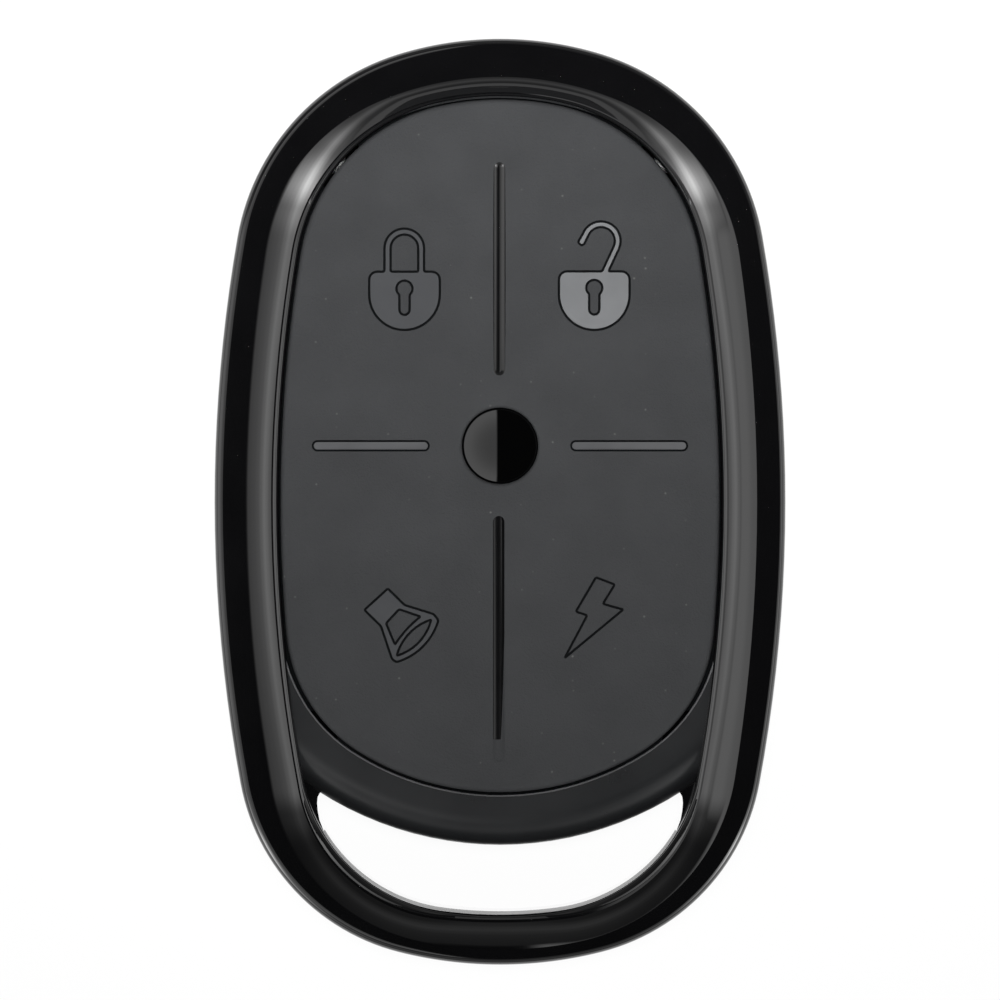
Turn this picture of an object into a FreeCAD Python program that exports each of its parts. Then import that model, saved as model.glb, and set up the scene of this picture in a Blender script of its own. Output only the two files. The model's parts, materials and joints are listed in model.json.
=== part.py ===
import FreeCAD, Part
import math
import os
from collections import namedtuple

import Sketcher
from FreeCAD import Vector

# Four-button key fob remote: an oval ring whose lower end runs on as a keyring loop.
# It lies on its back in the XY plane with the loop towards -Y and the keys facing +Z.
# The origin is on the back face, midway along and across the ring. Millimetres.

SIZES = {
    # Outside of the case, an oval of eight tangent arcs
    "case_half_width": 18.5,
    "case_top_reach": 30.0,
    "case_bottom_reach": 30.0,
    "case_side_radius": 100.0,
    "case_top_corner_radius": 15.1,
    "case_top_end_radius": 22.3,
    "case_bottom_corner_radius": 13.9,
    "case_bottom_end_radius": 26.8,
    "case_thickness": 13.0,
    "case_wall": 1.8,
    "parting_height": 6.0,
    "front_edge_radius": 0.6,
    "back_edge_radius": 2.6,
    # Bezel ring: its width, and the slope from its crown down to its inner edge
    "ring_side_width": 3.95,
    "ring_top_width": 3.6,
    "ring_corner_ease": 0.5,
    "ring_end_ease": 0.3,
    "crown_inset": 2.0,
    "ring_slope_drop": 1.0,
    # Loop: where the ring runs on past the end of the body
    "loop_width": 3.15,
    "loop_corner_radius": 8.0,
    "loop_end_radius": 23.0,
    "loop_back_step": 0.05,
    "loop_edge_radius": 0.7,
    "loop_horn_radius": 0.4,
    "loop_opening": 4.55,
    # End of the housing that faces the loop
    "body_end_radius": 22.4,
    "body_end_corner_radius": 3.0,
    "body_end_wall": 1.6,
    "body_end_edge_radius": 2.0,
    "deck_width": 3.15,
    "deck_height": 11.5,
    # Keypad face
    "pad_bottom_corner_radius": 10.1,
    "pad_bottom_end_radius": 17.4,
    "pad_gap": 0.3,
    "pad_crown_height": 12.3,
    "pad_crown_radius": 252.0,
    "pad_edge_radius": 0.35,
    "key_travel": 0.3,
    "key_stop_clearance": 0.1,
    "key_parting_gap": 0.1,
    "key_nub_radius": 2.3,
    # Bars sunk in the keypad between the keys
    "bar_width": 0.75,
    "bar_depth": 0.6,
    "bar_start": 4.55,
    "top_bar_inset": 4.1,
    "bottom_bar_inset": 1.95,
    "side_bar_inset": 2.05,
    # Keypad web and its skirt
    "web_flange": 1.3,
    "web_top": 10.0,
    "web_thickness": 0.7,
    "skirt_thickness": 1.0,
    "nub_clearance": 0.6,
    # Circuit board and its supports
    "floor_thickness": 1.5,
    "lip_height": 1.0,
    "lip_width": 0.7,
    "lip_clearance": 0.05,
    "board_thickness": 1.0,
    "board_clearance": 0.35,
    "post_radius": 1.1,
    "side_post_inset": 3.0,
    "top_post_inset": 4.5,
    "bottom_post_inset": 2.6,
    # Screws
    "screw_radius": 0.9,
    "screw_head_radius": 1.55,
    "screw_head_height": 1.0,
    "screw_head_sink": 0.3,
    "screw_length": 8.0,
    "screw_clearance": 0.15,
    "screw_thread_clearance": 0.03,
    "boss_radius": 1.8,
    "boss_notch_clearance": 0.25,
    "upper_screw_side_inset": 7.35,
    "upper_screw_end_inset": 7.5,
    "lower_screw_side_inset": 5.9,
    "lower_screw_end_inset": 6.7,
    # Tactile switches
    "switch_side_inset": 8.05,
    "upper_switch_reach": 10.0,
    "lower_switch_reach": 11.2,
    "switch_width": 6.0,
    "switch_housing_height": 1.75,
    "switch_cover_thickness": 0.25,
    "switch_well_radius": 2.1,
    "switch_well_depth": 1.0,
    "stem_radius": 1.6,
    "stem_flange_radius": 1.9,
    "stem_flange_thickness": 0.55,
    "stem_height": 2.6,
    "stem_clearance": 0.15,
    "dome_thickness": 0.1,
    "dome_shoulder_radius": 0.95,
    "dome_shoulder_drop": 0.06,
    "dome_foot_radius": 1.52,
    "terminal_length": 0.8,
    "terminal_width": 0.7,
    "terminal_thickness": 0.2,
    "terminal_spacing": 4.5,
    "touch_gap": 0.02,
    # Status lens and lamp
    "lens_radius": 2.4,
    "lens_hole_radius": 2.6,
    "lens_top_height": 12.15,
    "lens_rim_drop": 0.35,
    "lens_foot_radius": 3.2,
    "lens_foot_height": 2.2,
    "lens_bore_radius": 2.0,
    "lens_bore_depth": 1.6,
    "lamp_length": 2.0,
    "lamp_width": 1.25,
    "lamp_height": 0.5,
    "lamp_dome_radius": 0.5,
    # Coin cell and its contacts
    "cell_radius": 10.0,
    "cell_cap_radius": 8.6,
    "cell_can_height": 2.6,
    "cell_height": 3.2,
    "cell_floor_gap": 0.5,
    "cell_y": 4.0,
    "clip_thickness": 0.3,
    "clip_width": 8.0,
    "clip_side_gap": 0.2,
    "clip_foot_length": 1.2,
    "leaf_width": 3.0,
    "leaf_thickness": 0.15,
    "leaf_foot_start": 4.0,
    "leaf_foot_end": 2.0,
    "leaf_touch": 2.0,
    "leaf_tip": 3.0,
    "leaf_tip_rise": 0.3,
    # Chips on the board
    "chip_side_inset": 7.3,
    "controller_width": 3.9,
    "controller_length": 4.9,
    "controller_height": 1.45,
    "controller_pin_reach": 1.05,
    "controller_pin_width": 0.4,
    "controller_pin_thickness": 0.2,
    "controller_pin_pitch": 1.27,
    "resonator_width": 5.0,
    "resonator_length": 3.8,
    "resonator_height": 1.3,
    "crystal_end_inset": 6.3,
    "crystal_width": 5.0,
    "crystal_length": 3.2,
    "crystal_height": 1.1,
    "transistor_x": 4.2,
    "transistor_width": 2.9,
    "transistor_length": 1.3,
    "transistor_height": 1.0,
    "lower_row_inset": 4.8,
    "upper_row_step": 3.3,
    "capacitor_width": 1.0,
    "capacitor_length": 2.0,
    "capacitor_height": 0.9,
    "resistor_width": 1.0,
    "resistor_length": 2.0,
    "resistor_height": 0.5,
    "small_part_pitch": 2.0,
}

CAPACITORS = 3
RESISTORS = 3
PINS_PER_SIDE = 4
CUT_ROOM = 1.0
TOUCH = 1e-4

doc = FreeCAD.newDocument("key_fob_remote")
sheet = doc.addObject("Spreadsheet::Sheet", "Sizes")
for row, (alias, number) in enumerate(SIZES.items(), start=1):
    sheet.set(f"A{row}", alias)
    sheet.set(f"B{row}", str(number))
    sheet.setAlias(f"B{row}", alias)
doc.recompute()


class Size(float):
    """A length that carries its formula in the sheet's cells."""

    def __new__(cls, number, formula):
        size = super().__new__(cls, number)
        size.formula = formula
        return size

    def __add__(self, other):
        return Size(float(self) + float(other), f"({self.formula} + {formula_of(other)})")

    def __radd__(self, other):
        return Size(float(other) + float(self), f"({formula_of(other)} + {self.formula})")

    def __sub__(self, other):
        return Size(float(self) - float(other), f"({self.formula} - {formula_of(other)})")

    def __rsub__(self, other):
        return Size(float(other) - float(self), f"({formula_of(other)} - {self.formula})")

    def __mul__(self, other):
        return Size(float(self) * float(other), f"({self.formula} * {formula_of(other)})")

    def __rmul__(self, other):
        return self * other

    def __truediv__(self, other):
        return Size(float(self) / float(other), f"({self.formula} / {formula_of(other)})")

    def __neg__(self):
        return self * -1

    def __abs__(self):
        return self if float(self) >= 0 else -self


def formula_of(length):
    return length.formula if isinstance(length, Size) else repr(float(length))


def cell(alias):
    return Size(float(getattr(sheet, alias)), f"Sizes.{alias}")


def bind(thing, name, length):
    """Set a property to a length and tie it to the length's formula."""
    thing.setExpression(name, formula_of(length))


Outline = namedtuple(
    "Outline",
    "half_width side_radius top_reach top_corner top_end bottom_reach bottom_corner bottom_end",
)


def grown(outline, by):
    """The outline moved outwards by a distance: every arc keeps its centre."""
    return Outline(*[length + by for length in outline])


# Outlines

case = Outline(
    cell("case_half_width"),
    cell("case_side_radius"),
    cell("case_top_reach"),
    cell("case_top_corner_radius"),
    cell("case_top_end_radius"),
    cell("case_bottom_reach"),
    cell("case_bottom_corner_radius"),
    cell("case_bottom_end_radius"),
)
crown = grown(case, -cell("crown_inset"))

ring_inside = Outline(
    case.half_width - cell("ring_side_width"),
    case.side_radius,
    case.top_reach - cell("ring_top_width"),
    case.top_corner - cell("ring_top_width") + cell("ring_corner_ease"),
    case.top_end - cell("ring_top_width") + cell("ring_end_ease"),
    case.bottom_reach - cell("loop_width"),
    cell("loop_corner_radius"),
    cell("loop_end_radius"),
)
loop_back = grown(ring_inside, -cell("loop_back_step"))

body_end_reach = ring_inside.bottom_reach - cell("loop_opening")
pad_opening = ring_inside._replace(
    bottom_reach=body_end_reach - cell("deck_width"),
    bottom_corner=cell("pad_bottom_corner_radius") + cell("pad_gap"),
    bottom_end=cell("pad_bottom_end_radius") + cell("pad_gap"),
)
pad = grown(pad_opening, -cell("pad_gap"))


def housing(inset, end_inset):
    """The case outline moved in, and closed by the housing's own end above the loop."""
    sides = grown(case, -inset)
    return sides._replace(
        bottom_reach=body_end_reach - end_inset,
        bottom_corner=cell("body_end_corner_radius"),
        bottom_end=cell("body_end_radius") - end_inset,
    )


core = housing(cell("case_wall"), 0.0)
cavity = housing(cell("case_wall"), cell("body_end_wall"))
lip_out = cell("lip_clearance")
lip_in = lip_out + cell("lip_width")
lip = housing(cell("case_wall") + lip_out, cell("body_end_wall") + lip_out)
back_cavity = housing(cell("case_wall") + lip_in, cell("body_end_wall") + lip_in)
board_in = lip_in + cell("board_clearance")
board = housing(cell("case_wall") + board_in, cell("body_end_wall") + board_in)
flange = grown(pad, cell("web_flange"))
skirt_inside = grown(flange, -cell("skirt_thickness"))

# Heights

parting = cell("parting_height")
front = cell("case_thickness")
slope_foot = front - cell("ring_slope_drop")
deck = cell("deck_height")
floor = cell("floor_thickness")
board_bottom = parting
board_top = board_bottom + cell("board_thickness")
roof = cell("web_top")
web_bottom = roof - cell("web_thickness")
stem_top = board_top + cell("stem_height")
key_bottom = roof + cell("key_travel") + cell("key_stop_clearance")
pad_crown = cell("pad_crown_height")

# Places

lens_y = (pad.top_reach - pad.bottom_reach) / 2
screw_places = [
    (side * (case.half_width - cell(f"{end}_screw_side_inset")), y)
    for end, y in (
        ("upper", case.top_reach - cell("upper_screw_end_inset")),
        ("lower", cell("lower_screw_end_inset") - body_end_reach),
    )
    for side in (-1, 1)
]
switch_x = pad.half_width - cell("switch_side_inset")
upper_switch_y = lens_y + cell("upper_switch_reach")
lower_switch_y = lens_y - cell("lower_switch_reach")
switch_places = {
    "lock": (-switch_x, upper_switch_y),
    "unlock": (switch_x, upper_switch_y),
    "siren": (-switch_x, lower_switch_y),
    "flash": (switch_x, lower_switch_y),
}
side_post_x = board.half_width - cell("side_post_inset")
post_places = [
    (-side_post_x, upper_switch_y),
    (side_post_x, upper_switch_y),
    (-side_post_x, lower_switch_y),
    (side_post_x, lower_switch_y),
    (0.0, board.top_reach - cell("top_post_inset")),
    (0.0, cell("bottom_post_inset") - board.bottom_reach),
]


# Sketches

def new_body(label):
    body = doc.addObject("PartDesign::Body", label)
    body.Label = label
    return body


def new_sketch(body, role="XY_Plane", height=0.0):
    """A sketch on one of the body's own planes, lifted along the plane's normal."""
    plane = [p for p in body.Origin.OriginFeatures if p.Role == role][0]
    sketch = body.newObject("Sketcher::SketchObject", f"{body.Label}_sketch")
    sketch.AttachmentSupport = [(plane, "")]
    sketch.MapMode = "FlatFace"
    bind(sketch, "AttachmentOffset.Base.z", height)
    return sketch


def constrain(sketch, kind, *places, length):
    """A driving dimension of the sketch, tied to its formula."""
    index = sketch.addConstraint(Sketcher.Constraint(kind, *places, float(length)))
    sketch.setExpression(f"Constraints[{index}]", formula_of(length))


def place_point(sketch, geometry, point, x, y):
    """Hold one point of the sketch at x, y from the sketch's origin."""
    for kind, along, axis in (("DistanceX", x, -2), ("DistanceY", y, -1)):
        if float(along) == 0.0:
            sketch.addConstraint(Sketcher.Constraint("PointOnObject", geometry, point, axis))
        elif float(along) > 0.0:
            constrain(sketch, kind, -1, 1, geometry, point, length=along)
        else:
            constrain(sketch, kind, geometry, point, -1, 1, length=abs(along))


def arc(centre, radius, start, end):
    circle = Part.Circle(Vector(centre[0], centre[1], 0), Vector(0, 0, 1), radius)
    first = math.atan2(start[1], start[0])
    last = math.atan2(end[1], end[0])
    return Part.ArcOfCircle(circle, first, last if last > first else last + 2 * math.pi)


def mirrored(point):
    """The point on the other side of the fob's length."""
    return (-point[0], point[1])


def corner_centre(side_x, end_y, side_reach, end_reach):
    """Where a corner arc's centre lies, so that it touches both the side and the end arc."""
    apart = math.hypot(side_x, end_y)
    along = (apart ** 2 + side_reach ** 2 - end_reach ** 2) / (2 * apart)
    across = math.sqrt(side_reach ** 2 - along ** 2)
    step_x = -side_x / apart
    step_y = end_y / apart
    return (side_x + step_x * along - step_y * across, step_y * along + step_x * across)


def outline_sketch(body, outline, height):
    """Eight tangent arcs: right side, top right, top, top left, left, then the bottom."""
    sketch = new_sketch(body, height=height)
    side_x = outline.half_width - outline.side_radius
    top_y = outline.top_reach - outline.top_end
    bottom_y = outline.bottom_reach - outline.bottom_end
    numbers = [float(length) for length in outline]
    top = corner_arc_centre(numbers[0], numbers[1], numbers[2], numbers[3], numbers[4])
    low = corner_arc_centre(numbers[0], numbers[1], numbers[5], numbers[6], numbers[7])
    sx = float(side_x)
    ty = float(top_y)
    by = float(bottom_y)
    to_top = (top[0] - sx, top[1])
    to_low = (low[0] - sx, -low[1])
    end_top = (top[0], top[1] - ty)
    end_low = (low[0], by - low[1])
    arcs = [
        arc((sx, 0), outline.side_radius, to_low, to_top),
        arc(top, outline.top_corner, to_top, end_top),
        arc((0, ty), outline.top_end, end_top, mirrored(end_top)),
        arc(mirrored(top), outline.top_corner, mirrored(end_top), mirrored(to_top)),
        arc((-sx, 0), outline.side_radius, mirrored(to_top), mirrored(to_low)),
        arc((-low[0], -low[1]), outline.bottom_corner, mirrored(to_low), mirrored(end_low)),
        arc((0, -by), outline.bottom_end, mirrored(end_low), end_low),
        arc((low[0], -low[1]), outline.bottom_corner, end_low, to_low),
    ]
    sketch.addGeometry(arcs, False)
    for index in range(8):
        following = (index + 1) % 8
        sketch.addConstraint(Sketcher.Constraint("Tangent", index, 2, following, 1))
    constrain(sketch, "Radius", 0, length=outline.side_radius)
    constrain(sketch, "Radius", 1, length=outline.top_corner)
    constrain(sketch, "Radius", 2, length=outline.top_end)
    constrain(sketch, "Radius", 6, length=outline.bottom_end)
    constrain(sketch, "Radius", 7, length=outline.bottom_corner)
    for left, right in ((4, 0), (3, 1), (5, 7)):
        sketch.addConstraint(Sketcher.Constraint("Equal", left, right))
    place_point(sketch, 0, 3, side_x, 0.0)
    place_point(sketch, 4, 3, -side_x, 0.0)
    place_point(sketch, 2, 3, 0.0, top_y)
    place_point(sketch, 6, 3, 0.0, -bottom_y)
    return sketch


def corner_arc_centre(half_width, side_radius, reach, corner_radius, end_radius):
    """Centre of the corner arc between a side and an end, on the end's own side."""
    return corner_centre(
        half_width - side_radius,
        reach - end_radius,
        side_radius - corner_radius,
        end_radius - corner_radius,
    )


def circles_sketch(body, places, radius, height):
    sketch = new_sketch(body, height=height)
    for index, (x, y) in enumerate(places):
        centre = Vector(float(x), float(y), 0)
        sketch.addGeometry(Part.Circle(centre, Vector(0, 0, 1), float(radius)), False)
        constrain(sketch, "Radius", index, length=radius)
        place_point(sketch, index, 3, x, y)
    return sketch


def polygon_sketch(body, points, role="XZ_Plane", height=0.0):
    """A closed outline of straight lines through the points, each point held in place."""
    sketch = new_sketch(body, role, height)
    corners = [Vector(float(x), float(y), 0) for x, y in points]
    count = len(corners)
    for index in range(count):
        line = Part.LineSegment(corners[index], corners[(index + 1) % count])
        sketch.addGeometry(line, False)
    for index in range(count):
        following = (index + 1) % count
        sketch.addConstraint(Sketcher.Constraint("Coincident", index, 2, following, 1))
    for index, (x, y) in enumerate(points):
        place_point(sketch, index, 1, x, y)
    return sketch


def slot_sketch(body, start, end, along_x, offset, width, height):
    """A round-ended slot from start to end, along X at y = offset or along Y at x = offset."""
    sketch = new_sketch(body, height=height)
    half = width / 2
    first = start + half
    last = end - half
    if along_x:
        near = (first, offset)
        far = (last, offset)
        left = (0.0, float(half))
    else:
        near = (offset, first)
        far = (offset, last)
        left = (-float(half), 0.0)
    right = (-left[0], -left[1])
    for step in (right, left):
        start_point = Vector(near[0] + step[0], near[1] + step[1], 0)
        end_point = Vector(far[0] + step[0], far[1] + step[1], 0)
        sketch.addGeometry(Part.LineSegment(start_point, end_point), False)
    for at, from_side, to_side in ((far, right, left), (near, left, right)):
        sketch.addGeometry(arc((float(at[0]), float(at[1])), half, from_side, to_side), False)
    for line, point, cap, cap_point in ((0, 2, 2, 1), (1, 2, 2, 2), (0, 1, 3, 2), (1, 1, 3, 1)):
        sketch.addConstraint(Sketcher.Constraint("Tangent", line, point, cap, cap_point))
    sketch.addConstraint(Sketcher.Constraint("Equal", 2, 3))
    constrain(sketch, "Radius", 2, length=half)
    place_point(sketch, 2, 3, *far)
    place_point(sketch, 3, 3, *near)
    return sketch


# Features

def extrude(body, kind, sketch, length, downwards=False):
    """Pad or Pocket over a length, upwards unless told otherwise."""
    feature = body.newObject(f"PartDesign::{kind}", f"{body.Label}_{kind.lower()}")
    feature.Profile = sketch
    feature.Type = "Length"
    feature.Reversed = downwards if kind == "Pad" else not downwards
    feature.Refine = True
    bind(feature, "Length", length)
    before = volume_of(body)
    body.Tip = feature
    doc.recompute()
    after = volume_of(body)
    grew = after > before + TOUCH if kind == "Pad" else after < before - TOUCH
    if not grew:
        raise RuntimeError(f"{feature.Label} changes nothing")
    return feature


def volume_of(body):
    return 0.0 if body.Shape.isNull() else body.Shape.Volume


def pad_up(body, sketch, length):
    return extrude(body, "Pad", sketch, length)


def pocket_up(body, sketch, length):
    return extrude(body, "Pocket", sketch, length)


def pocket_down(body, sketch, length):
    return extrude(body, "Pocket", sketch, length, downwards=True)


def round_edges(body, radius, chosen):
    """Fillet the tip's edges that the test picks."""
    base = body.Tip
    names = [
        f"Edge{index}"
        for index, edge in enumerate(base.Shape.Edges, start=1)
        if chosen(edge)
    ]
    if not names:
        raise RuntimeError(f"{body.Label} has no edge to round")
    fillet = body.newObject("PartDesign::Fillet", f"{body.Label}_fillet")
    fillet.Base = (base, names)
    bind(fillet, "Radius", radius)
    body.Tip = fillet
    doc.recompute()
    if "Invalid" in fillet.State or fillet.Shape.isNull():
        raise RuntimeError(f"{fillet.Label} failed on {names}")
    return fillet


def lies_at(edge, height):
    box = edge.BoundBox
    return abs(box.ZMin - height) < TOUCH and abs(box.ZMax - height) < TOUCH


def on_outline(edge, outline):
    """True when the edge's middle is on the outline, measured from the arcs' centres."""
    middle = edge.valueAt((edge.FirstParameter + edge.LastParameter) / 2)
    x = abs(middle.x)
    half = [float(length) for length in outline]
    if middle.y >= 0:
        reach, corner, end = half[2:5]
    else:
        reach, corner, end = half[5:8]
    y = abs(middle.y)
    at = corner_arc_centre(half[0], half[1], reach, corner, end)
    gaps = (
        math.hypot(x - (half[0] - half[1]), y) - half[1],
        math.hypot(x - at[0], y - at[1]) - corner,
        math.hypot(x, y - (reach - end)) - end,
    )
    return min(abs(gap) for gap in gaps) < 1e-3


def turned(label, points, x=0.0, y=0.0):
    """A piece turned about its own upright axis from a profile of (radius, height) points."""
    body = new_body(label)
    sketch = polygon_sketch(body, points)
    feature = body.newObject("PartDesign::Revolution", f"{label}_turned")
    feature.Profile = sketch
    feature.ReferenceAxis = (sketch, ["V_Axis"])
    feature.Angle = 360.0
    body.Tip = feature
    bind(body, "Placement.Base.x", x)
    bind(body, "Placement.Base.y", y)
    return body


def block(name, x, y, bottom, width, length, height):
    """A box centred on x, y that stands on a height."""
    box = doc.addObject("Part::Box", name)
    bind(box, "Length", width)
    bind(box, "Width", length)
    bind(box, "Height", height)
    bind(box, "Placement.Base.x", x - width / 2)
    bind(box, "Placement.Base.y", y - length / 2)
    bind(box, "Placement.Base.z", bottom)
    return box


def post(name, x, y, bottom, radius, height):
    cylinder = doc.addObject("Part::Cylinder", name)
    bind(cylinder, "Radius", radius)
    bind(cylinder, "Height", height)
    bind(cylinder, "Placement.Base.x", x)
    bind(cylinder, "Placement.Base.y", y)
    bind(cylinder, "Placement.Base.z", bottom)
    return cylinder


def boolean(kind, name, base, tool):
    feature = doc.addObject(f"Part::{kind}", name)
    feature.Base = base
    feature.Tool = tool
    return feature


def group(name, pieces):
    """Identical loose solids that share one node."""
    compound = doc.addObject("Part::Compound", name)
    compound.Links = pieces
    return compound


parts = []


def keep(piece, label):
    piece.Label = label
    parts.append(piece)
    return piece


# Front shell: bezel ring, end deck, front half of the loop

def make_front_shell():
    body = new_body("front_shell")
    height = front - parting
    pad_up(body, outline_sketch(body, case, parting), height)
    round_edges(body, cell("front_edge_radius"), lambda e: lies_at(e, front))

    slope = body.newObject("PartDesign::SubtractiveLoft", "ring_slope")
    slope.Profile = outline_sketch(body, crown, front)
    slope.Sections = [outline_sketch(body, ring_inside, slope_foot)]
    slope.Ruled = True
    before = volume_of(body)
    body.Tip = slope
    doc.recompute()
    if volume_of(body) > before - TOUCH:
        raise RuntimeError("The ring's slope cuts nothing")

    pocket_down(body, outline_sketch(body, ring_inside, front), height)
    pad_up(body, outline_sketch(body, core, parting), deck - parting)
    round_edges(body, cell("loop_horn_radius"), is_horn)
    round_edges(
        body,
        cell("body_end_edge_radius"),
        lambda e: lies_at(e, deck) and on_outline(e, core) and e.BoundBox.YMax < 0,
    )
    pocket_up(body, outline_sketch(body, cavity, parting), roof - parting)
    pad_up(body, circles_sketch(body, screw_places, cell("boss_radius"), parting), roof - parting)
    pocket_down(body, outline_sketch(body, pad_opening, deck), deck - roof)
    thread = cell("screw_radius") + cell("screw_thread_clearance")
    reach = cell("screw_head_sink") + cell("screw_length") - parting + cell("screw_clearance")
    pocket_up(body, circles_sketch(body, screw_places, thread, parting), reach)
    return keep(body, "front_shell")


def is_horn(edge):
    """One of the two upright edges where the housing's end meets the loop."""
    box = edge.BoundBox
    upright = box.XLength < TOUCH and box.YLength < TOUCH
    return upright and -body_end_reach < box.YMin < -lens_y


# Rear shell: back, screw wells, board posts, rear half of the loop

def make_rear_shell():
    body = new_body("rear_shell")
    pad_up(body, outline_sketch(body, case, 0.0), parting)
    pocket_up(body, outline_sketch(body, loop_back, 0.0), parting)
    pad_up(body, outline_sketch(body, core, 0.0), parting)
    round_edges(
        body,
        cell("back_edge_radius"),
        lambda e: lies_at(e, 0.0) and on_outline(e, case),
    )
    round_edges(body, cell("loop_horn_radius"), is_horn)
    rest_face = grown(case, -cell("back_edge_radius"))
    round_edges(
        body,
        cell("loop_edge_radius"),
        lambda e: lies_at(e, 0.0) and not on_outline(e, rest_face),
    )
    pad_up(body, outline_sketch(body, lip, parting), cell("lip_height"))
    top = parting + cell("lip_height")
    pocket_down(body, outline_sketch(body, back_cavity, top), top - floor)
    pad_up(body, circles_sketch(body, screw_places, cell("boss_radius"), floor), parting - floor)
    pad_up(body, circles_sketch(body, post_places, cell("post_radius"), floor), parting - floor)
    notch = cell("boss_radius") + cell("boss_notch_clearance")
    pocket_down(body, circles_sketch(body, screw_places, notch, top), cell("lip_height"))
    hole = cell("screw_radius") + cell("screw_clearance")
    pocket_up(body, circles_sketch(body, screw_places, hole, 0.0), parting)
    well = cell("screw_head_radius") + cell("screw_clearance")
    well_depth = cell("screw_head_sink") + cell("screw_head_height")
    pocket_up(body, circles_sketch(body, screw_places, well, 0.0), well_depth)
    return keep(body, "rear_shell")


# Silicone keypad: fixed web with its skirt, and four key tops

def make_keypad_web():
    body = new_body("keypad_web")
    pad_up(body, outline_sketch(body, flange, board_top), roof - board_top)
    pocket_up(body, outline_sketch(body, skirt_inside, board_top), web_bottom - board_top)
    nub_hole = cell("key_nub_radius") + cell("nub_clearance")
    places = list(switch_places.values())
    pocket_up(body, circles_sketch(body, places, nub_hole, web_bottom), cell("web_thickness"))
    lens_hole = circles_sketch(body, [(0.0, lens_y)], cell("lens_hole_radius"), web_bottom)
    pocket_up(body, lens_hole, cell("web_thickness"))
    notch = cell("boss_radius") + cell("boss_notch_clearance")
    pocket_up(body, circles_sketch(body, screw_places, notch, board_top), roof - board_top)
    return keep(body, "keypad_web")


def make_keypad_face():
    """The whole face of the keypad in one piece, from which the four keys are cut."""
    body = new_body("keypad_face")
    pad_up(body, outline_sketch(body, pad, key_bottom), pad_crown - key_bottom)
    cut_crown(body)
    round_edges(body, cell("pad_edge_radius"), is_face_edge)
    depth = pad_crown - key_bottom
    lens_hole = circles_sketch(body, [(0.0, lens_y)], cell("lens_hole_radius"), key_bottom)
    pocket_up(body, lens_hole, depth)
    clear = cell("bar_start")
    side_end = pad.half_width - cell("side_bar_inset")
    upper = (lens_y + clear, pad.top_reach - cell("top_bar_inset"))
    lower = (cell("bottom_bar_inset") - pad.bottom_reach, lens_y - clear)
    left = (-side_end, -clear)
    right = (clear, side_end)
    width = cell("bar_width")
    for (start, end), along_x in ((upper, False), (lower, False), (left, True), (right, True)):
        offset = lens_y if along_x else 0.0
        sketch = slot_sketch(body, start, end, along_x, offset, width, pad_crown)
        pocket_down(body, sketch, cell("bar_depth"))
    return body


def cut_crown(body):
    """Take the flat top down to a shallow arch across the width."""
    sketch = new_sketch(body, "XZ_Plane")
    radius = cell("pad_crown_radius")
    half = pad_opening.half_width
    centre_z = pad_crown - radius
    rise = math.sqrt(float(radius) ** 2 - float(half) ** 2)
    edge_z = float(centre_z) + rise
    over = pad_crown + CUT_ROOM
    turn = (float(half), rise)
    sketch.addGeometry(arc((0, float(centre_z)), radius, turn, (-turn[0], turn[1])), False)
    left = Vector(-float(half), edge_z, 0)
    right = Vector(float(half), edge_z, 0)
    left_top = Vector(left.x, float(over), 0)
    right_top = Vector(right.x, float(over), 0)
    for start, end in ((left, left_top), (left_top, right_top), (right_top, right)):
        sketch.addGeometry(Part.LineSegment(start, end), False)
    for one, point, other, other_point in ((0, 2, 1, 1), (1, 2, 2, 1), (2, 2, 3, 1), (3, 2, 0, 1)):
        sketch.addConstraint(Sketcher.Constraint("Coincident", one, point, other, other_point))
    constrain(sketch, "Radius", 0, length=radius)
    place_point(sketch, 0, 3, 0.0, centre_z)
    place_point(sketch, 2, 1, -half, over)
    place_point(sketch, 2, 2, half, over)
    sketch.addConstraint(Sketcher.Constraint("Vertical", 1))
    sketch.addConstraint(Sketcher.Constraint("Vertical", 3))
    feature = body.newObject("PartDesign::Pocket", "crown_cut")
    feature.Profile = sketch
    feature.Type = "Length"
    feature.Midplane = True
    bind(feature, "Length", (pad.top_reach + pad.bottom_reach) * 2)
    before = volume_of(body)
    body.Tip = feature
    doc.recompute()
    if volume_of(body) > before - TOUCH:
        raise RuntimeError("The keypad's arch cuts nothing")


def is_face_edge(edge):
    """An edge of the arched top face along the keypad's outline."""
    return edge.BoundBox.ZMin > key_bottom + TOUCH and on_outline(edge, pad)


def make_keys(face):
    gap = cell("key_parting_gap") / 2
    far = case.half_width
    length = case.top_reach
    depth = pad_crown - key_bottom
    for name, (x, y) in switch_places.items():
        across = 1 if float(x) > 0 else -1
        along = 1 if float(y) > 0 else -1
        centre_x = across * (gap + far / 2)
        centre_y = lens_y + along * (gap + length / 2)
        quarter = block(f"{name}_quarter", centre_x, centre_y, key_bottom, far, length, depth)
        top = boolean("Common", f"{name}_top", face, quarter)
        nub_bottom = stem_top + cell("touch_gap")
        height = key_bottom - nub_bottom
        nub = post(f"{name}_nub", x, y, nub_bottom, cell("key_nub_radius"), height)
        keep(boolean("Fuse", f"key_{name}", top, nub), f"key_{name}")


# Status lens: a domed light guide standing over the lamp

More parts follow.
